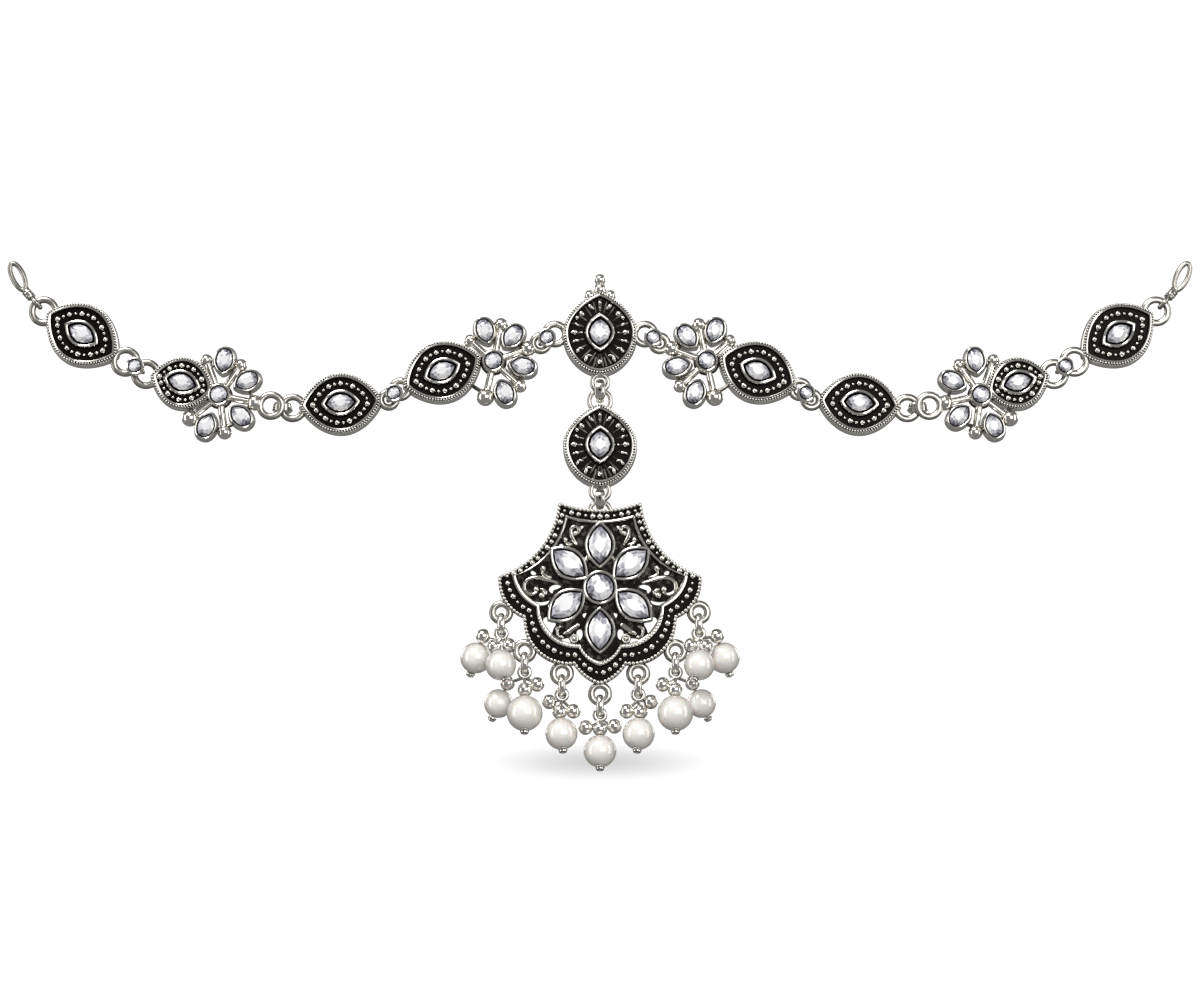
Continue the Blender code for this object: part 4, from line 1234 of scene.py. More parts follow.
@dataclass
class StoneConnector:
    """A small round stone on a link that holds two stacked eye wires."""

    heading: float
    cup: float = 0.0046
    depth: float = 0.0016
    wire: float = 0.0011

    def cast(self) -> Casting:
        """Cast the link and set its stone.

        Returns:
            Their shells.
        """
        casting = Casting()
        hole = 2 * EYE_WIRE + 3 * RUN_GAP
        mean = (hole + self.wire) / 2
        path = []
        for along, out in circle(2 * mean, 36):
            dx, dz = spin(self.heading, along, 0.0)
            path.append((dx, MID + out, dz))
        casting.tube(path, self.wire, 10, closed=True, tone=0.05, tone_low=0.7)
        base = MID - hole / 2 - self.wire * 0.45
        Cup(
            circle(self.cup, 36), 45.0, base, base - self.depth, wall=0.00065, line=0.00022,
            rise=0.0006, flare=0.0, facets=6,
        ).cast(casting)
        return casting


@dataclass
class StrapLink:
    """A wide cast link seen edge-on, with painted shade: a dark spot in the middle of its front and
    darker side edges.
    """

    heading: float
    long: float
    width: float = 0.0026
    wall: float = 0.0009
    rise: float = 0.0

    def cast(self) -> Casting:
        """Cast the link.

        Returns:
            Its shell.
        """
        casting = Casting()
        hole = 2 * EYE_WIRE + 3 * RUN_GAP
        half_deep = (hole + self.wall) / 2
        half_long = (self.long - self.wall) / 2
        points, tones, faces = [], [], []
        rows, sides = 56, 20
        for row in range(rows):
            turn = 2 * math.pi * row / rows
            way = Vector((math.cos(turn) / half_long, math.sin(turn) / half_deep)).normalized()
            for side in range(sides):
                around = 2 * math.pi * side / sides
                thick = self.wall / 2 * math.copysign(abs(math.cos(around)) ** 0.7, math.cos(around))
                across = self.width / 2 * math.copysign(
                    abs(math.sin(around)) ** 0.6, math.sin(around)
                )
                across *= 1.0 - 0.34 * math.cos(turn) ** 4
                along = half_long * math.cos(turn) + way.x * thick
                out = half_deep * math.sin(turn) + way.y * thick
                dx, dz = spin(self.heading, along, across)
                points.append((dx, out, dz + self.rise))
                # Painted shade: a dark spot in the middle of the front, and darker towards the side
                # edges.
                painted_spot_shade = math.exp(-(along ** 2 + across ** 2) / (2 * 0.00050 ** 2))
                edge = abs(across) / (self.width / 2)
                tones.append(min(1.0, (painted_spot_shade if out < 0 else 0.0) + 0.3 * edge ** 6))
        for row in range(rows):
            low, high = row * sides, (row + 1) % rows * sides
            for side in range(sides):
                beside = (side + 1) % sides
                faces.append((low + side, low + beside, high + beside, high + side))
        casting.add(points, faces, tones)
        return casting


@dataclass
class EndHook:
    """A wire hook: a closed eye, a wrapped neck and a narrow loop for a hair pin."""

    wire: float = 0.00125
    length: float = 0.0086
    width: float = 0.0042
    neck: float = 0.0036
    tilt: float = 65.0
    neck_tilt: float = 48.0

    def cast(self) -> Casting:
        """Bend the hook.

        Returns:
            Its shells.
        """
        casting = Casting()
        level = MID + STACK
        hole = EYE_WIRE + 2 * RUN_GAP
        outer = hole + 2 * self.wire
        ring_x, ring_z = polar(hole / 2 - EYE_WIRE / 2 - RUN_GAP, self.neck_tilt)
        path = []
        for along, out in circle(hole + self.wire, 36):
            dx, dz = spin(self.neck_tilt, along, 0.0)
            path.append((ring_x + dx, level + out, ring_z + dz))
        casting.tube(path, self.wire, 12, closed=True, tone=0.28, tone_low=1.0, free=True)
        start = polar(outer / 2 - self.wire * 0.6, self.neck_tilt)
        start = (ring_x + start[0], ring_z + start[1])
        ahead = polar(self.neck, self.neck_tilt)
        pinch = (start[0] + ahead[0], start[1] + ahead[1])
        casting.tube(
            [(start[0], level, start[1]), (pinch[0], level, pinch[1])], self.wire, 12, tone=0.3
        )
        coil = []
        turns, rows = 4, 64
        for k in range(rows + 1):
            share = k / rows
            x = start[0] + ahead[0] * (0.10 + 0.72 * share)
            z = start[1] + ahead[1] * (0.10 + 0.72 * share)
            turn = 2 * math.pi * turns * share
            across = self.wire * 0.66 * math.cos(turn)
            dx, dz = spin(self.neck_tilt, 0.0, across)
            coil.append((x + dx, level + self.wire * 0.66 * math.sin(turn), z + dz))
        casting.tube(coil, self.wire * 0.62, 8, tone=0.15, tone_low=1.0, free=True)
        length = self.length - self.wire
        loop = []
        steps = 48
        for k in range(steps):
            turn = 2 * math.pi * (k + 0.5) / steps
            narrow = 0.88 + 0.12 * math.sin(turn / 2)
            across = (self.width - self.wire) / 2 * math.sin(turn) * narrow
            loop.append((length / 2 * (1 - math.cos(turn)), across))
        x, z = polar(self.wire * 0.3, self.tilt)
        there = moved(loop, pinch[0] - x, pinch[1] - z, self.tilt)
        casting.tube(
            [(a, level, b) for a, b in there], self.wire, 12, closed=True, tone=0.32,
            tone_low=1.0, free=True,
        )
        return casting


@dataclass
class CentrePlaque:
    """The plaque on the parting: an upright almond with a finial and three eyes."""

    plate: AlmondPlate
    eye: float = 0.0062
    foot_eye: float = 0.0052
    ball: float = 0.0030
    side_ball: float = 0.0026

    @property
    def side_eye(self) -> tuple[float, float]:
        """The middle of the right eye."""
        return self.plate.width / 2 + self.eye / 2 - 0.0008, 0.0002

    @property
    def foot(self) -> float:
        """The height of the middle of the foot eye."""
        return -(self.plate.length / 2 + self.foot_eye / 2 - 0.0008)

    def cast(self) -> Casting:
        """Cast the plaque.

        Returns:
            Its shells, without the stone.
        """
        casting = Casting()
        self.plate.cast(casting)
        x, z = self.side_eye
        for sign in (1, -1):
            casting.ring(sign * x, z, MID + STACK, self.eye, EYE_WIRE)
        casting.ring(0.0, self.foot, MID, self.foot_eye, EYE_WIRE, stout=1.0)
        half = self.plate.length / 2
        low = half + self.ball * 0.36
        casting.ball((0.0, MID, low), self.ball * 1.1, 24, 14, 0.6, free=True)
        casting.ball((0.0, MID, low + self.ball * 0.82), self.ball * 0.96, 24, 14, 0.6,
                     free=True)
        for sign in (1, -1):
            casting.ball(
                (sign * self.ball * 0.86, MID, half - self.side_ball * 0.20), self.side_ball * 1.1,
                24, 14, 0.6, free=True,
            )
        return casting


# The fan

FAN_HALF = 0.02525
FAN_HIGH = 0.0457
FAN_OUTLINE = (
    ((-0.406, 0.468), -0.093, 36), ((0.406, 0.468), -0.15, 30), ((1.0, 0.059), 0.17, 16),
    ((0.752, -0.166), 0.234, 26), ((0.257, -0.422), 0.09, 14),
)
FAN_RAIL = (
    ((-0.333, 0.389), -0.08, 36), ((0.333, 0.389), -0.14, 30), ((0.848, 0.063), 0.125, 16),
    ((0.614, -0.101), 0.22, 26), ((0.202, -0.322), 0.12, 14),
)
FAN_TIP = (0.0, -0.532)
FAN_RAIL_TIP = (0.0, -0.418)
FAN_LOOPS = ((2, 0.62), (3, 0.38), (3, 0.86))
FAN_PETALS = ((0.423, 90.0, 90.0), (0.387, 38.0, 40.0), (0.375, -28.0, -39.0), (0.424, -90.0, -90.0))

# Gaps of the right half, in mm from the fan's middle: the corners of each
FAN_GAPS = (
    ((4.1, 15.6), (4.9, 15.5), (4.7, 14.7)),
    ((9.2, 10.9), (9.9, 11.1), (10.3, 10.3), (9.7, 9.9), (9.3, 10.2)),
    ((15.9, 3.7), (16.6, 4.3), (17.2, 4.2), (17.0, 3.4), (16.3, 3.3)),
    ((9.7, 0.4), (10.8, 0.9), (12.2, 0.5), (12.7, -0.5), (11.9, -1.3), (11.6, -0.5), (10.7, -0.2)),
    ((12.6, -3.1), (13.4, -3.3), (15.0, -3.5), (16.6, -3.2), (16.2, -3.9), (14.8, -4.3),
     (13.2, -4.0)),
    ((11.0, -9.0), (11.5, -7.8), (12.6, -7.2), (13.8, -7.4), (14.2, -8.4), (13.7, -10.0),
     (12.7, -11.4), (12.0, -11.3), (11.6, -10.2)),
    ((3.4, -6.2), (4.3, -6.5), (4.0, -7.4), (3.7, -7.1)),
    ((4.5, -10.6), (5.2, -10.3), (5.8, -11.0), (5.6, -12.4), (5.0, -12.9), (4.4, -12.0)),
    ((7.1, -12.9), (8.0, -12.5), (9.6, -12.8), (9.9, -13.3), (8.8, -13.8), (7.4, -13.6)),
)

# Scroll wires of the right half, in mm from the fan's middle, each with its width
FAN_SCROLLS = (
    (((5.75, 10.8), (6.4, 11.7), (7.0, 12.8), (7.4, 13.9), (7.2, 14.9), (6.5, 15.5), (5.6, 15.3),
      (5.2, 14.55), (5.5, 13.8), (6.1, 13.7)), 0.95, 1.3),
    (((6.9, 10.9), (7.9, 11.0), (8.6, 11.5), (8.7, 12.1)), 0.8, 1.5),
    (((10.5, 1.3), (12.4, 1.8), (14.4, 2.4), (16.1, 2.7), (17.75, 2.3), (18.75, 1.3),
      (18.9, -0.1), (18.25, -1.2), (17.0, -1.6), (16.0, -1.1), (15.9, -0.3)), 1.0, 1.5),
    (((12.0, 2.6), (13.4, 2.9), (14.3, 3.7), (14.2, 4.9)), 0.8, 1.9),
    (((14.9, -0.2), (13.9, -0.6), (13.5, -1.3), (14.5, -1.9)), 0.75, 1.7),
    (((9.4, -9.6), (10.25, -9.8), (10.75, -10.8), (10.4, -11.95), (9.5, -12.3)), 0.8, 1.1),
    (((9.0, -11.6), (7.9, -10.95), (6.9, -10.2), (5.6, -9.3), (5.1, -8.8)), 1.2, 0.0),
    (((3.0, 8.2), (3.4, 7.2), (4.1, 6.0)), 0.9, 0.0),
    (((8.9, -5.2), (10.4, -5.6), (11.6, -5.2), (12.3, -5.9), (11.8, -6.7), (11.0, -6.3)), 0.8, 1.0),
)


def arc_point(
    start: tuple[float, float], end: tuple[float, float], bulge: float, share: float
) -> tuple[tuple[float, float], Vector]:
    """Give a point on an arc.

    Args:
        start: The arc's first end.
        end: Its last end.
        bulge: Its rise as a share of its chord; negative bends it the other way.
        share: How far along it the point lies.

    Returns:
        The point, and the direction out of the arc there.
    """
    chord = Vector((end[0] - start[0], end[1] - start[1]))
    left = Vector((-chord.y, chord.x)).normalized()
    rise = bulge * chord.length
    radius = (chord.length ** 2 / 4 + rise ** 2) / (2 * rise)
    hub = Vector(start) + chord / 2 + left * (rise - radius)
    half = math.asin(chord.length / 2 / abs(radius))
    sign = 1 if radius > 0 else -1
    turn = (0.5 - share) * 2 * half * sign
    out = Vector(spin(math.degrees(turn), left.x * sign, left.y * sign))
    point = hub + out * abs(radius)
    return (point.x, point.y), out * sign


@dataclass
class FanPendant:
    """The pierced fan with its stone flower, scrolls and drop loops."""

    z: float
    back: float = MID + 0.0014
    front: float = MID - 0.0010
    web: float = 0.0011
    cup: float = 0.0088
    petal: tuple[float, float] = (0.0121, 0.0079)
    top_eye: float = 0.0064
    loop: float = 0.0054
    loop_reach: float = 0.0021

    def corners(self, table: tuple, tip: tuple[float, float]) -> Flat:
        """List a contour's corners in metres, the tip last."""
        places = [place for place, _, _ in table] + [tip]
        return [(x * FAN_HALF, z * FAN_HIGH) for x, z in places]

    def contour(self, table: tuple, tip: tuple[float, float]) -> Flat:
        """Draw the whole contour.

        Args:
            table: Its right half's corners, each with the arc that follows.
            tip: Its foot.

        Returns:
            The ring of points.
        """
        ends = self.corners(table, tip)
        right = []
        for k, (_, bulge, steps) in enumerate(table):
            for step in range(steps):
                if k or step >= steps / 2:
                    right.append(arc_point(ends[k], ends[k + 1], bulge, step / steps)[0])
        return right + [ends[-1]] + [(-x, z) for x, z in reversed(right[1:])]

    def loops(self) -> Flat:
        """List the middles of the drop loops, from left to right.

        Returns:
            Each middle, in metres.
        """
        ends = self.corners(FAN_OUTLINE, FAN_TIP)
        right = []
        for arc, share in FAN_LOOPS:
            point, out = arc_point(ends[arc], ends[arc + 1], FAN_OUTLINE[arc][1], share)
            right.append((point[0] + out.x * self.loop_reach, point[1] + out.y * self.loop_reach))
        tip = ends[-1]
        left = [(-x, z) for x, z in right]
        return left + [(tip[0], tip[1] - self.loop_reach)] + list(reversed(right))

    def petals(self) -> list[tuple[float, float, float]]:
        """List each petal's middle and heading, in the order of the plain stones.

        Returns:
            X, Z and heading in degrees.
        """
        places = []
        for share, angle, heading in FAN_PETALS:
            x, z = polar(share * FAN_HALF, angle)
            places.append((x, z, heading))
            if abs(angle) != 90.0:
                places.append((-x, z, 180.0 - heading))
        return places

    def cast_rim(self, casting: Casting, outer: Flat, rail: Flat) -> None:
        """Cast the rim, the black channel with its grains, and the inner rail.

        Args:
            casting: Where the shells go.
            outer: The fan's edge.
            rail: The line of the inner rail.
        """
        front, back, floor = self.front, self.back, self.front + 0.0003
        casting.loft([
            (outer, back, 0.3),
            (outer, front + 0.0005, 0.4),
            (between(outer, rail, 0.02), front + 0.0002, 0.95),
            (between(outer, rail, 0.20), front + 0.0002, 1.0),
            (between(outer, rail, 0.22), floor, 1.0),
            (between(outer, rail, 0.86), floor, 1.0),
            (between(outer, rail, 0.89), front - 0.0003, 0.9),
            (between(outer, rail, 0.91), front - 0.0005, 0.05),
            (between(outer, rail, 1.0), front - 0.0006, 0.0),
            (between(outer, rail, 1.10), front - 0.0005, 0.05),
            (between(outer, rail, 1.15), front - 0.0002, 0.5),
            (between(outer, rail, 1.14), back, 0.9),
        ], ends=False)
        rim_line = evenly(between(outer, rail, 0.10), 0.00097)
        casting.beads(rim_line, front - 0.0001, 0.0010, 0.95, 10, 7)
        sizes = (1.50, 1.30, 0.70, 1.38, 1.25, 0.78, 1.48, 1.2, 1.35, 0.7)
        for k, (x, z) in enumerate(evenly(between(outer, rail, 0.55), 0.00178)):
            casting.ball((x, floor - 0.0003, z), sizes[k % len(sizes)] * 0.00106, 14, 8, 0.95)
        low_rail = [p for p in evenly(between(outer, rail, 1.0), 0.00085) if p[1] < -0.0062]
        casting.beads(low_rail, front - 0.00055, 0.00082, 0.6, 8, 6)

    def cast(self) -> Casting:
        """Cast the fan and set its stones.

        Returns:
            Its shells.
        """
        casting = Casting()
        outer = self.contour(FAN_OUTLINE, FAN_TIP)
        rail = self.contour(FAN_RAIL, FAN_RAIL_TIP)
        self.cast_rim(casting, outer, rail)
        holes = []
        for sign in (1, -1):
            for corners in FAN_GAPS:
                line = [(sign * x * 0.001, z * 0.001, 0.0) for x, z in corners]
                holes.append([(x, z) for x, z, _ in smooth(line, 4, closed=True)])
        web_front = self.back - self.web
        casting.sheet(between(outer, rail, 1.0), holes, self.back - 0.0001, web_front, 0.83)
        for sign in (1, -1):
            for line, width, knob in FAN_SCROLLS:
                path = smooth([(sign * x * 0.001, web_front - 0.0001, z * 0.001) for x, z in line], 6)
                widths = [
                    width * 0.00125 * min(1.0, 0.55 + 2.2 * min(k, len(path) - 1 - k) / len(path))
                    for k in range(len(path))
                ]
                casting.tube(path, widths, 12, tone=0.0, tone_low=0.65, squash=1.3)
                if knob:
                    x, y, z = path[-1]
                    casting.ball((x, y - 0.0001, z), knob * 0.001, 14, 8, 0.8)
            casting.ring(sign * 0.00645, -0.01265, web_front - 0.0001, 0.0022, 0.0005, 24)
            casting.ball((sign * 0.00645, web_front - 0.0002, -0.01265), 0.0013, 14, 8, 0.8)
            casting.ball((sign * 0.0178, web_front, 0.0052), 0.0016, 14, 8, 0.8)
            casting.ball((sign * 0.0098, web_front, -0.0142), 0.0014, 14, 8, 0.8)
        for x, z, heading in self.petals():
            ring = moved(almond(*self.petal, 0.88, 0.88, 28), x, z, heading)
            Cup(
                ring, heading, self.back - 0.0002, self.front - 0.0007, wall=0.00084, line=0.00040,
                rise=0.0008, flare=0.0, facets=7,
            ).cast(casting)
        Cup(
            circle(self.cup, 56), 30.0, self.back - 0.0002, self.front - 0.0007, wall=0.00088,
            line=0.00035, rise=0.0008, flare=0.0, facets=7,
        ).cast(casting)
        for x, z in self.loops():
            casting.ring(x, z, MID, self.loop, EYE_WIRE, 36)
        eye_z = 0.0219 - (self.top_eye - EYE_WIRE) / 2
        casting.ring(0.0, eye_z, MID + 2 * STACK, self.top_eye, EYE_WIRE, stout=1.0)
        return casting


# The drops

SMALL_EYE_WIRE = 0.0008
DROP_WIRE = 0.0009
CLUSTER_EYE = 0.0033
BEAD = 0.0034
LINK_EXTRA = 0.0007
LINK_WIDTH = 0.0018
BEAD_CLOSER = 0.92

# From the fan's side to its middle: each bead's place from its eye (outwards, Y, Z), the
# tilt of its pin outwards, its lean to the back, and its pearl's diameter
DROPS = (
    ((0.0049, 0.0006, -0.0006, 19.0, 15.0, 0.00775),
     (0.0019, -0.0010, -0.0034, -20.0, -28.0, 0.00765),
     (-0.0022, -0.0003, -0.0030, 0.0, 0.0, 0.0)),
    ((0.0046, 0.0015, -0.0026, 24.0, 0.0, 0.00720),
     (-0.0001, -0.0006, -0.0044, 0.0, -20.0, 0.00890),
     (-0.0034, 0.0, -0.0030, 0.0, 0.0, 0.0)),
    ((0.0034, 0.0008, -0.0017, 0.0, 0.0, 0.0),
     (0.0006, -0.0002, -0.0043, -5.0, -20.0, 0.00800),
     (-0.0031, 0.0, -0.0041, 0.0, 0.0, 0.0)),
    ((0.0039, 0.0, -0.0028, 0.0, 0.0, 0.0),
     (0.0, -0.0002, -0.0035, 0.0, -20.0, 0.00810),
     (-0.0039, 0.0, -0.0031, 0.0, 0.0, 0.0)),
)


def lathe(
    casting: Casting, profile: list[tuple[float, float, float]], place: Vector,
    direction: Vector, sides: int, skin: Skin = Skin.SILVER, closed: bool = False,
) -> None:
    """Turn a profile about a line.

    Args:
        casting: Where the shell goes.
        profile: Places along the line, radii and tones.
        place: The line's start.
        direction: Its unit direction.
        sides: Points around it.
        skin: The finish.
        closed: Join the last ring to the first, or else cap both.
    """
    across = direction.orthogonal().normalized()
    beside = direction.cross(across)
    points, tones, faces = [], [], []
    for along, radius, tone in profile:
        for side in range(sides):
            turn = 2 * math.pi * side / sides
            offset = across * (radius * math.cos(turn)) + beside * (radius * math.sin(turn))
            points.append(tuple(place + direction * along + offset))
            tones.append(tone)
    rows = len(profile)
    for row in range(rows if closed else rows - 1):
        low, high = row * sides, (row + 1) % rows * sides
        for side in range(sides):
            after = (side + 1) % sides
            faces.append((low + side, low + after, high + after, high + side))
    if not closed:
        faces.append(tuple(range(sides)))
        faces.append(tuple(range((rows - 1) * sides, rows * sides)))
    casting.add(points, faces, tones, skin)


@dataclass
class DropString:
    """One drop of the fan: a link, an eye, three silver beads, and pearls on pins."""

    loop: tuple[float, float]
    rows: tuple
    side: int
    hole: float = EYE_WIRE + SMALL_EYE_WIRE + 3 * RUN_GAP

    @property
    def top(self) -> float:
        """The height of the top of the link's opening."""
        return self.loop[1] - (0.0054 - EYE_WIRE) / 2 + EYE_WIRE / 2 + RUN_GAP

    @property
    def eye(self) -> Vector:
        """The middle of the eye."""
        eye_top = self.top - self.hole - LINK_EXTRA + RUN_GAP + SMALL_EYE_WIRE / 2
        return Vector((self.loop[0], MID, eye_top - (CLUSTER_EYE - SMALL_EYE_WIRE) / 2))

    def link(self) -> Casting:
        """Bend the link, seen edge-on.

        Returns:
            Its shell.
        """
        casting = Casting()
        middle = self.top - (self.hole + LINK_EXTRA) / 2
        longer = 1 + LINK_EXTRA / (self.hole + DROP_WIRE)
        path = [
            (self.loop[0], MID + out, middle + up * longer)
            for out, up in circle(self.hole + DROP_WIRE, 28)
        ]
        casting.tube(
            path, LINK_WIDTH, 14, closed=True, tone=0.0, tone_low=0.45, squash=0.8, free=True
        )
        return casting

    def pins(self) -> list[tuple[Vector, Vector, float]]:
        """List each bead's place, its pin's direction and its pearl's diameter.

        Returns:
            One entry for each bead.
        """
        result = []
        for dx, dy, dz, tilt, lean, pearl in self.rows:
            bead = self.eye + Vector((self.side * dx * BEAD_CLOSER, dy, dz))
            tilt, lean = math.radians(tilt), math.radians(lean)
            direction = Vector((
                self.side * math.sin(tilt) * math.cos(lean), math.sin(lean),
                -math.cos(tilt) * math.cos(lean),
            ))
            result.append((bead, direction, pearl))
        return result

    def cluster(self) -> Casting:
        """Make the eye with its beads, its pins and the caps below its pearls.

        Returns:
            Their shells.
        """
        casting = Casting()
        eye = self.eye
        casting.ring(eye.x, eye.z, eye.y, CLUSTER_EYE, SMALL_EYE_WIRE, 28, 0.05)
        foot = eye - Vector((0.0, 0.0, (CLUSTER_EYE - SMALL_EYE_WIRE) / 2))
        for bead, direction, pearl in self.pins():
            casting.tube([tuple(foot), tuple(bead)], 0.0008, 8, tone=0.35, tone_low=0.9)
            half = BEAD * 0.54
            around = [(-math.cos(math.pi * k / 16) * half, math.sin(math.pi * k / 16) * half)
                      for k in range(1, 16)]
            lathe(
                casting, [(a, r, 0.7 * (abs(a) / half) ** 7) for a, r in around], bead,
                direction, 28,
            )
            if not pearl:
                continue
            start = bead + direction * (BEAD / 2)
            casting.tube([tuple(bead), tuple(start + direction * (pearl + 0.0009))], 0.0008, 8,
                         tone=0.3)
            below = start + direction * (pearl * 0.985 + 2 * RUN_GAP)
            lathe(casting, [
                (0.0, 0.0009, 0.6), (0.0, 0.00112, 0.1), (0.0003, 0.00118, 0.0),
                (0.0005, 0.00095, 0.6), (0.00062, 0.00105, 0.0), (0.00088, 0.00098, 0.0),
                (0.00096, 0.0006, 0.7), (0.00104, 0.00062, 0.2), (0.00112, 0.00045, 0.1),
            ], below, direction, 20)
        return casting

    def pearls(self) -> list[Casting]:
        """Drill and polish the pearls.

        Returns:
            One casting for each.
        """
        result = []
        for bead, direction, pearl in self.pins():
            if not pearl:
                continue
            casting = Casting()
            middle = bead + direction * (BEAD / 2 + RUN_GAP + pearl / 2)
            half, bore = pearl / 2, 0.0007
            start = math.asin(bore / half)
            rows = 22
            profile = []
            for k in range(rows + 1):
                turn = start + (math.pi - 2 * start) * k / rows
                profile.append((-half * math.cos(turn), half * math.sin(turn), 0.0))
            lathe(casting, profile, middle, direction, 36, Skin.PEARL, closed=True)
            result.append(casting)
        return result


# The jewel, its light and its camera


class MathaPatti:
    """Builds every piece in the place of its plain solids."""

    def __init__(self, workshop: Workshop) -> None:
        """Keep the finishes at hand.

        Args:
            workshop: The finishes.
        """
        self.workshop = workshop
        self.cast_finishes = [workshop.silver, workshop.stone, workshop.pearl]
        self.link_finishes = [workshop.polished, workshop.stone, workshop.pearl]
        self.wire_finishes = [workshop.wire, workshop.stone, workshop.pearl]

    def both_sides(
        self, name: str, casting: Casting, x: float, z: float, tilt: float, finishes: list,
        slot: str,
    ) -> None:
        """Set a piece on the right and its mirror on the left.

        Args:
            name: The plain solid's name without its side.
            casting: Its shells.
            x: Its place on the right.
            z: Its height.
            tilt: Its turn in degrees.
            finishes: The materials for silver, stone and pearl faces.
            slot: The record's finish.
        """
        for side, mirrored in (("right", False), ("left", True)):
            casting.finish(
                f"{name}_{side}_look", Place(x, z, tilt, mirrored), finishes, slot, "band",
                [f"{name}_{side}"],
            )

    def band(self) -> None:
        """Build the plaque and both halves of the band."""
        plaque = CentrePlaque(AlmondPlate(
            0.0207, 0.0179, 0.0099, 0.0075, 0.86, 0.55, Relief.TICKS, z=0.0003, angle=90.0
        ))
        plaque.cast().finish(
            "centre_plaque_look", Place(), self.cast_finishes, "antique_silver", "band",
            ["centre_plaque"],
        )
        stone = Casting()
        plaque.plate.stone(stone)
        stone.finish(
            "centre_stone_look", Place(), self.cast_finishes, "cut_stone", "band", ["centre_stone"]
        )
        band_leaf = {"bezel_length": 0.0100, "bezel_width": 0.0067}
        motif_a = FlowerMotif(
            "motif_a", ((74.6, 0.95), (127.6, 0.94), (190.3, 0.88), (250.1, 1.0)),
            ((101.3, 1.20, 0.0029), (42.7, 1.0, 0.0026), (222.2, 1.13, 0.0028),
             (282.6, 1.15, 0.0037)),
            (158.6, 1.165, 0.0033), -11.4, -22.0,
            AlmondPlate(0.0201, 0.0148, head=0.82, foot=0.80, **band_leaf), 0.0050, 0.0054,
        )
        leaf_b = LeafMotif(
            "leaf_b", AlmondPlate(0.0200, 0.0148, head=0.82, foot=0.82, **band_leaf), 0.0050,
            0.0066, 0.0020, 0.0021,
        )
        motif_c = FlowerMotif(
            "motif_c", ((98.3, 1.05), (153.3, 0.92), (224.7, 0.90), (291.9, 1.0)),
            ((69.6, 1.20, 0.0026), (124.3, 1.17, 0.0027), (261.6, 1.17, 0.0030),
             (322.0, 1.16, 0.0035)),
            (191.5, 1.13, 0.0033), 18.5, 15.0,
            AlmondPlate(0.0158, 0.0126, 0.0098, 0.0064, 0.86, 0.74), 0.0066, 0.0070,
            tuck=0.0019, eye_in=0.0019,
        )
        leaf_d = LeafMotif(
            "leaf_d", AlmondPlate(0.0204, 0.0151, head=0.84, foot=0.84, **band_leaf), 0.0070,
            0.0070, 0.0028, 0.0013,
        )
        route = (
            (motif_a, 0.0050, 0.0054, -34.8, 0.0, "connector_a"),
            (leaf_b, 0.0050, 0.0066, -45.0, -4.5, "connector_b"),
            (motif_c, 0.0066, 0.0070, 4.0, 0.0, "jump_ring"),
            (leaf_d, 0.0070, 0.0070, 30.0, 32.0, "connector_c"),
        )
        eye, last = plaque.side_eye, plaque.eye
        for motif, inner_size, outer_size, angle, tilt, join in route:
            start, crossing = ring_chain(eye, last, inner_size, angle)
            inner = spin(tilt, *motif.inner)
            outer = spin(tilt, *motif.outer)
            x, z = start[0] - inner[0], start[1] - inner[1]
            self.both_sides(
                motif.name, motif.cast(), x, z, tilt, self.cast_finishes, "antique_silver"
            )
            if join == "jump_ring":
                joint = StrapLink(angle, 0.0054)
            else:
                joint = StoneConnector(angle)
            self.both_sides(
                join, joint.cast(), crossing[0], crossing[1], 0.0, self.link_finishes,
                "bright_silver",
            )
            eye, last = (x + outer[0], z + outer[1]), outer_size
        hook = EndHook()
        dx, dz = polar((last - EYE_WIRE) / 2, hook.neck_tilt)
        self.both_sides(
            "end_hook", hook.cast(), eye[0] + dx, eye[1] + dz, 0.0, self.wire_finishes,
            "wire_silver",
        )

    def drop_leaf(self) -> None:
        """Build the leaf below the plaque with its link."""
        StrapLink(-90.0, 0.0060, rise=-0.0003).cast().finish(
            "leaf_link_look", Place(0.0, LEAF_LINK_Z, y=MID + STACK), self.link_finishes,
            "bright_silver", "drop_leaf", ["leaf_link"],
        )
        plate = AlmondPlate(
            0.0203, 0.0176, 0.0099, 0.0075, 0.86, 0.55, Relief.TICKS, z=0.0001, angle=90.0
        )
        casting = Casting()
        plate.cast(casting)
        casting.ring(0.0, 0.0115, MID + 2 * STACK, 0.0066, EYE_WIRE, stout=1.0)
        casting.ring(0.0, -0.0115, MID, 0.0058, EYE_WIRE, stout=1.0)
        place = Place(0.0, LEAF_Z)
        casting.finish(
            "drop_leaf_look", place, self.cast_finishes, "antique_silver", "drop_leaf",
            ["drop_leaf"],
        )
        stone = Casting()
        plate.stone(stone)
        stone.finish(
            "drop_leaf_stone_look", place, self.cast_finishes, "cut_stone", "drop_leaf",
            ["drop_leaf_stone"],
        )

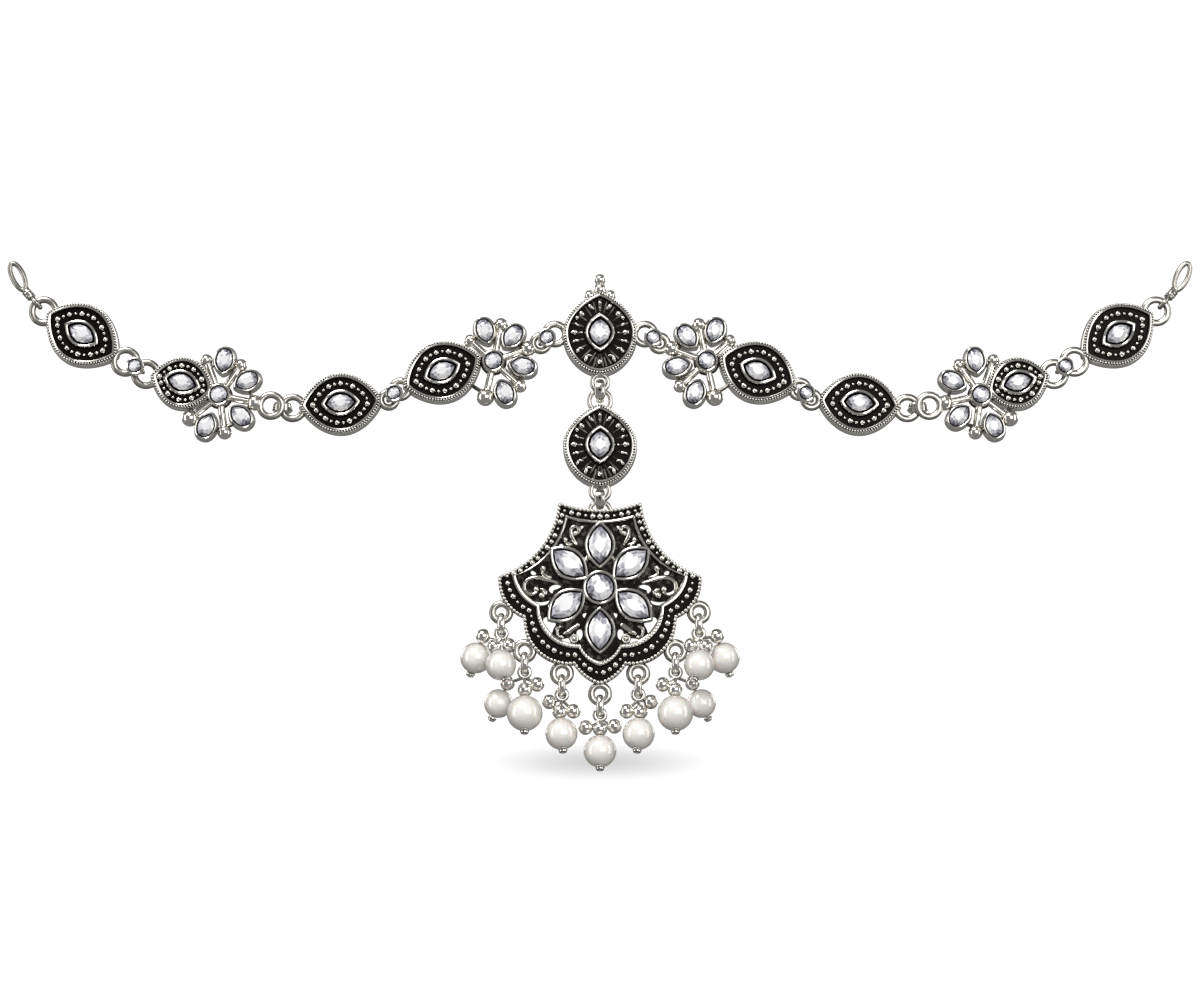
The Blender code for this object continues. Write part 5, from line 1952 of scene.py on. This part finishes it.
    def fan(self) -> None:
        """Build the fan, its link and its drops."""
        StrapLink(-90.0, 0.0052, rise=0.0005).cast().finish(
            "fan_link_look", Place(0.0, FAN_LINK_Z, y=MID + STACK), self.link_finishes,
            "bright_silver", "fan", ["fan_link"],
        )
        fan = FanPendant(FAN_Z)
        place = Place(0.0, fan.z)
        fan.cast().finish(
            "fan_plate_look", place, self.cast_finishes, "antique_silver", "fan",
            ["fan_plate"] + [f"fan_stone_{k}" for k in range(1, 8)],
        )
        loops = fan.loops()
        for number, loop in enumerate(loops, 1):
            row = min(number - 1, len(loops) - number)
            side = -1 if number <= len(loops) // 2 else 1
            drop = DropString(loop, DROPS[row], side)
            drop.link().finish(
                f"drop_link_{number}_look", place, self.link_finishes, "bright_silver", "fan",
                [f"drop_link_{number}"],
            )
            drop.cluster().finish(
                f"bead_cluster_{number}_look", place, self.link_finishes, "bright_silver", "fan",
                [f"bead_cluster_{number}"],
            )
            for letter, pearl in zip("ab", drop.pearls()):
                pearl.finish(
                    f"pearl_{number}{letter}_look", place, self.cast_finishes, "pearl", "fan",
                    [f"pearl_{number}{letter}"],
                )


# Each lamp: its name, place, watts, width and height
LAMPS = (
    ("key", (-0.35, -0.60, 0.85), 9.0, 0.7, 0.45),
    ("front_soft", (0.45, -1.25, 0.15), 5.6, 1.0, 0.8),
    ("fill_right", (0.95, -0.30, 0.05), 2.4, 0.3, 1.0),
    ("fill_left", (-0.95, -0.30, 0.05), 2.4, 0.3, 1.0),
    ("back_right", (1.05, 1.15, 0.45), 5.0, 0.8, 0.8),
    ("back_left", (-1.05, 1.15, 0.45), 5.0, 0.8, 0.8),
)


@dataclass
class Studio:
    """A white sweep, soft lights all round and a camera a little below the jewel."""

    target: Vector = field(default_factory=lambda: Vector((0.0, 0.0, -0.0415)))
    camera_at: Vector = field(default_factory=lambda: Vector((0.0, -1.190, -0.1877)))
    lens: float = 144.0
    world_grey: float = 0.24
    paper_white: float = 1.0
    wall_y: float = 2.6
    floor_z: float = -0.60
    curve: float = 0.30

    def light(
        self, name: str, at: tuple[float, float, float], watts: float, wide: float, high: float
    ) -> None:
        """Hang one soft light that faces the jewel.

        Args:
            name: Its name.
            at: Its place.
            watts: Its power.
            wide: Its width.
            high: Its height.
        """
        lamp = bpy.data.lights.new(name, "AREA")
        lamp.shape = "RECTANGLE"
        lamp.size, lamp.size_y, lamp.energy = wide, high, watts
        obj = bpy.data.objects.new(name, lamp)
        obj.location = at
        obj.rotation_euler = (self.target - Vector(at)).to_track_quat("-Z", "Y").to_euler()
        bpy.context.scene.collection.objects.link(obj)

    def sweep(self) -> None:
        """Lay the white paper: a floor that curves up into a wall."""
        line = [(-self.wall_y, self.floor_z)]
        for k in range(13):
            turn = math.radians(90 * k / 12)
            line.append((
                self.wall_y - self.curve * (1 - math.sin(turn)),
                self.floor_z + self.curve * (1 - math.cos(turn)),
            ))
        line.append((self.wall_y, self.wall_y))
        points = [(side * self.wall_y, y, z) for y, z in line for side in (-1, 1)]
        faces = [(2 * k, 2 * k + 1, 2 * k + 3, 2 * k + 2) for k in range(len(line) - 1)]
        mesh = bpy.data.meshes.new("backdrop")
        mesh.from_pydata(points, [], faces)
        mesh.shade_smooth()
        mesh.materials.append(BackdropFinish().make())
        obj = bpy.data.objects.new("backdrop", mesh)
        bpy.context.scene.collection.objects.link(obj)
        obj.visible_glossy = False
        obj.visible_diffuse = False

    def build(self) -> None:
        """Set the world, the lights, the paper and the camera."""
        scene = bpy.context.scene
        world = bpy.data.worlds.new("studio")
        world.use_nodes = True
        nodes, links = world.node_tree.nodes, world.node_tree.links
        room = nodes["Background"]
        room.inputs["Color"].default_value = (self.world_grey,) * 3 + (1.0,)
        paper = nodes.new("ShaderNodeBackground")
        paper.inputs["Color"].default_value = (self.paper_white,) * 3 + (1.0,)
        path = nodes.new("ShaderNodeLightPath")
        both = nodes.new("ShaderNodeMixShader")
        links.new(path.outputs["Is Camera Ray"], both.inputs["Fac"])
        links.new(room.outputs["Background"], both.inputs[1])
        links.new(paper.outputs["Background"], both.inputs[2])
        links.new(both.outputs["Shader"], nodes["World Output"].inputs["Surface"])
        scene.world = world
        for lamp in LAMPS:
            self.light(*lamp)
        self.sweep()
        camera = bpy.data.cameras.new("camera")
        camera.lens = self.lens
        camera.sensor_width = 36.0
        camera.clip_start = 0.01
        obj = bpy.data.objects.new("camera", camera)
        obj.location = self.camera_at
        obj.rotation_euler = (self.target - self.camera_at).to_track_quat("-Z", "Y").to_euler()
        scene.collection.objects.link(obj)
        scene.camera = obj
        scene.view_settings.view_transform = "Standard"
        scene.view_settings.look = "None"


def main() -> None:
    """Build the jewel and its studio, piece by piece."""
    logging.basicConfig(level=logging.INFO, format="%(name)s: %(message)s")
    jewel = MathaPatti(Workshop())
    jewel.band()
    jewel.drop_leaf()
    jewel.fan()
    Studio().build()


if __name__ == "__main__":
    main()
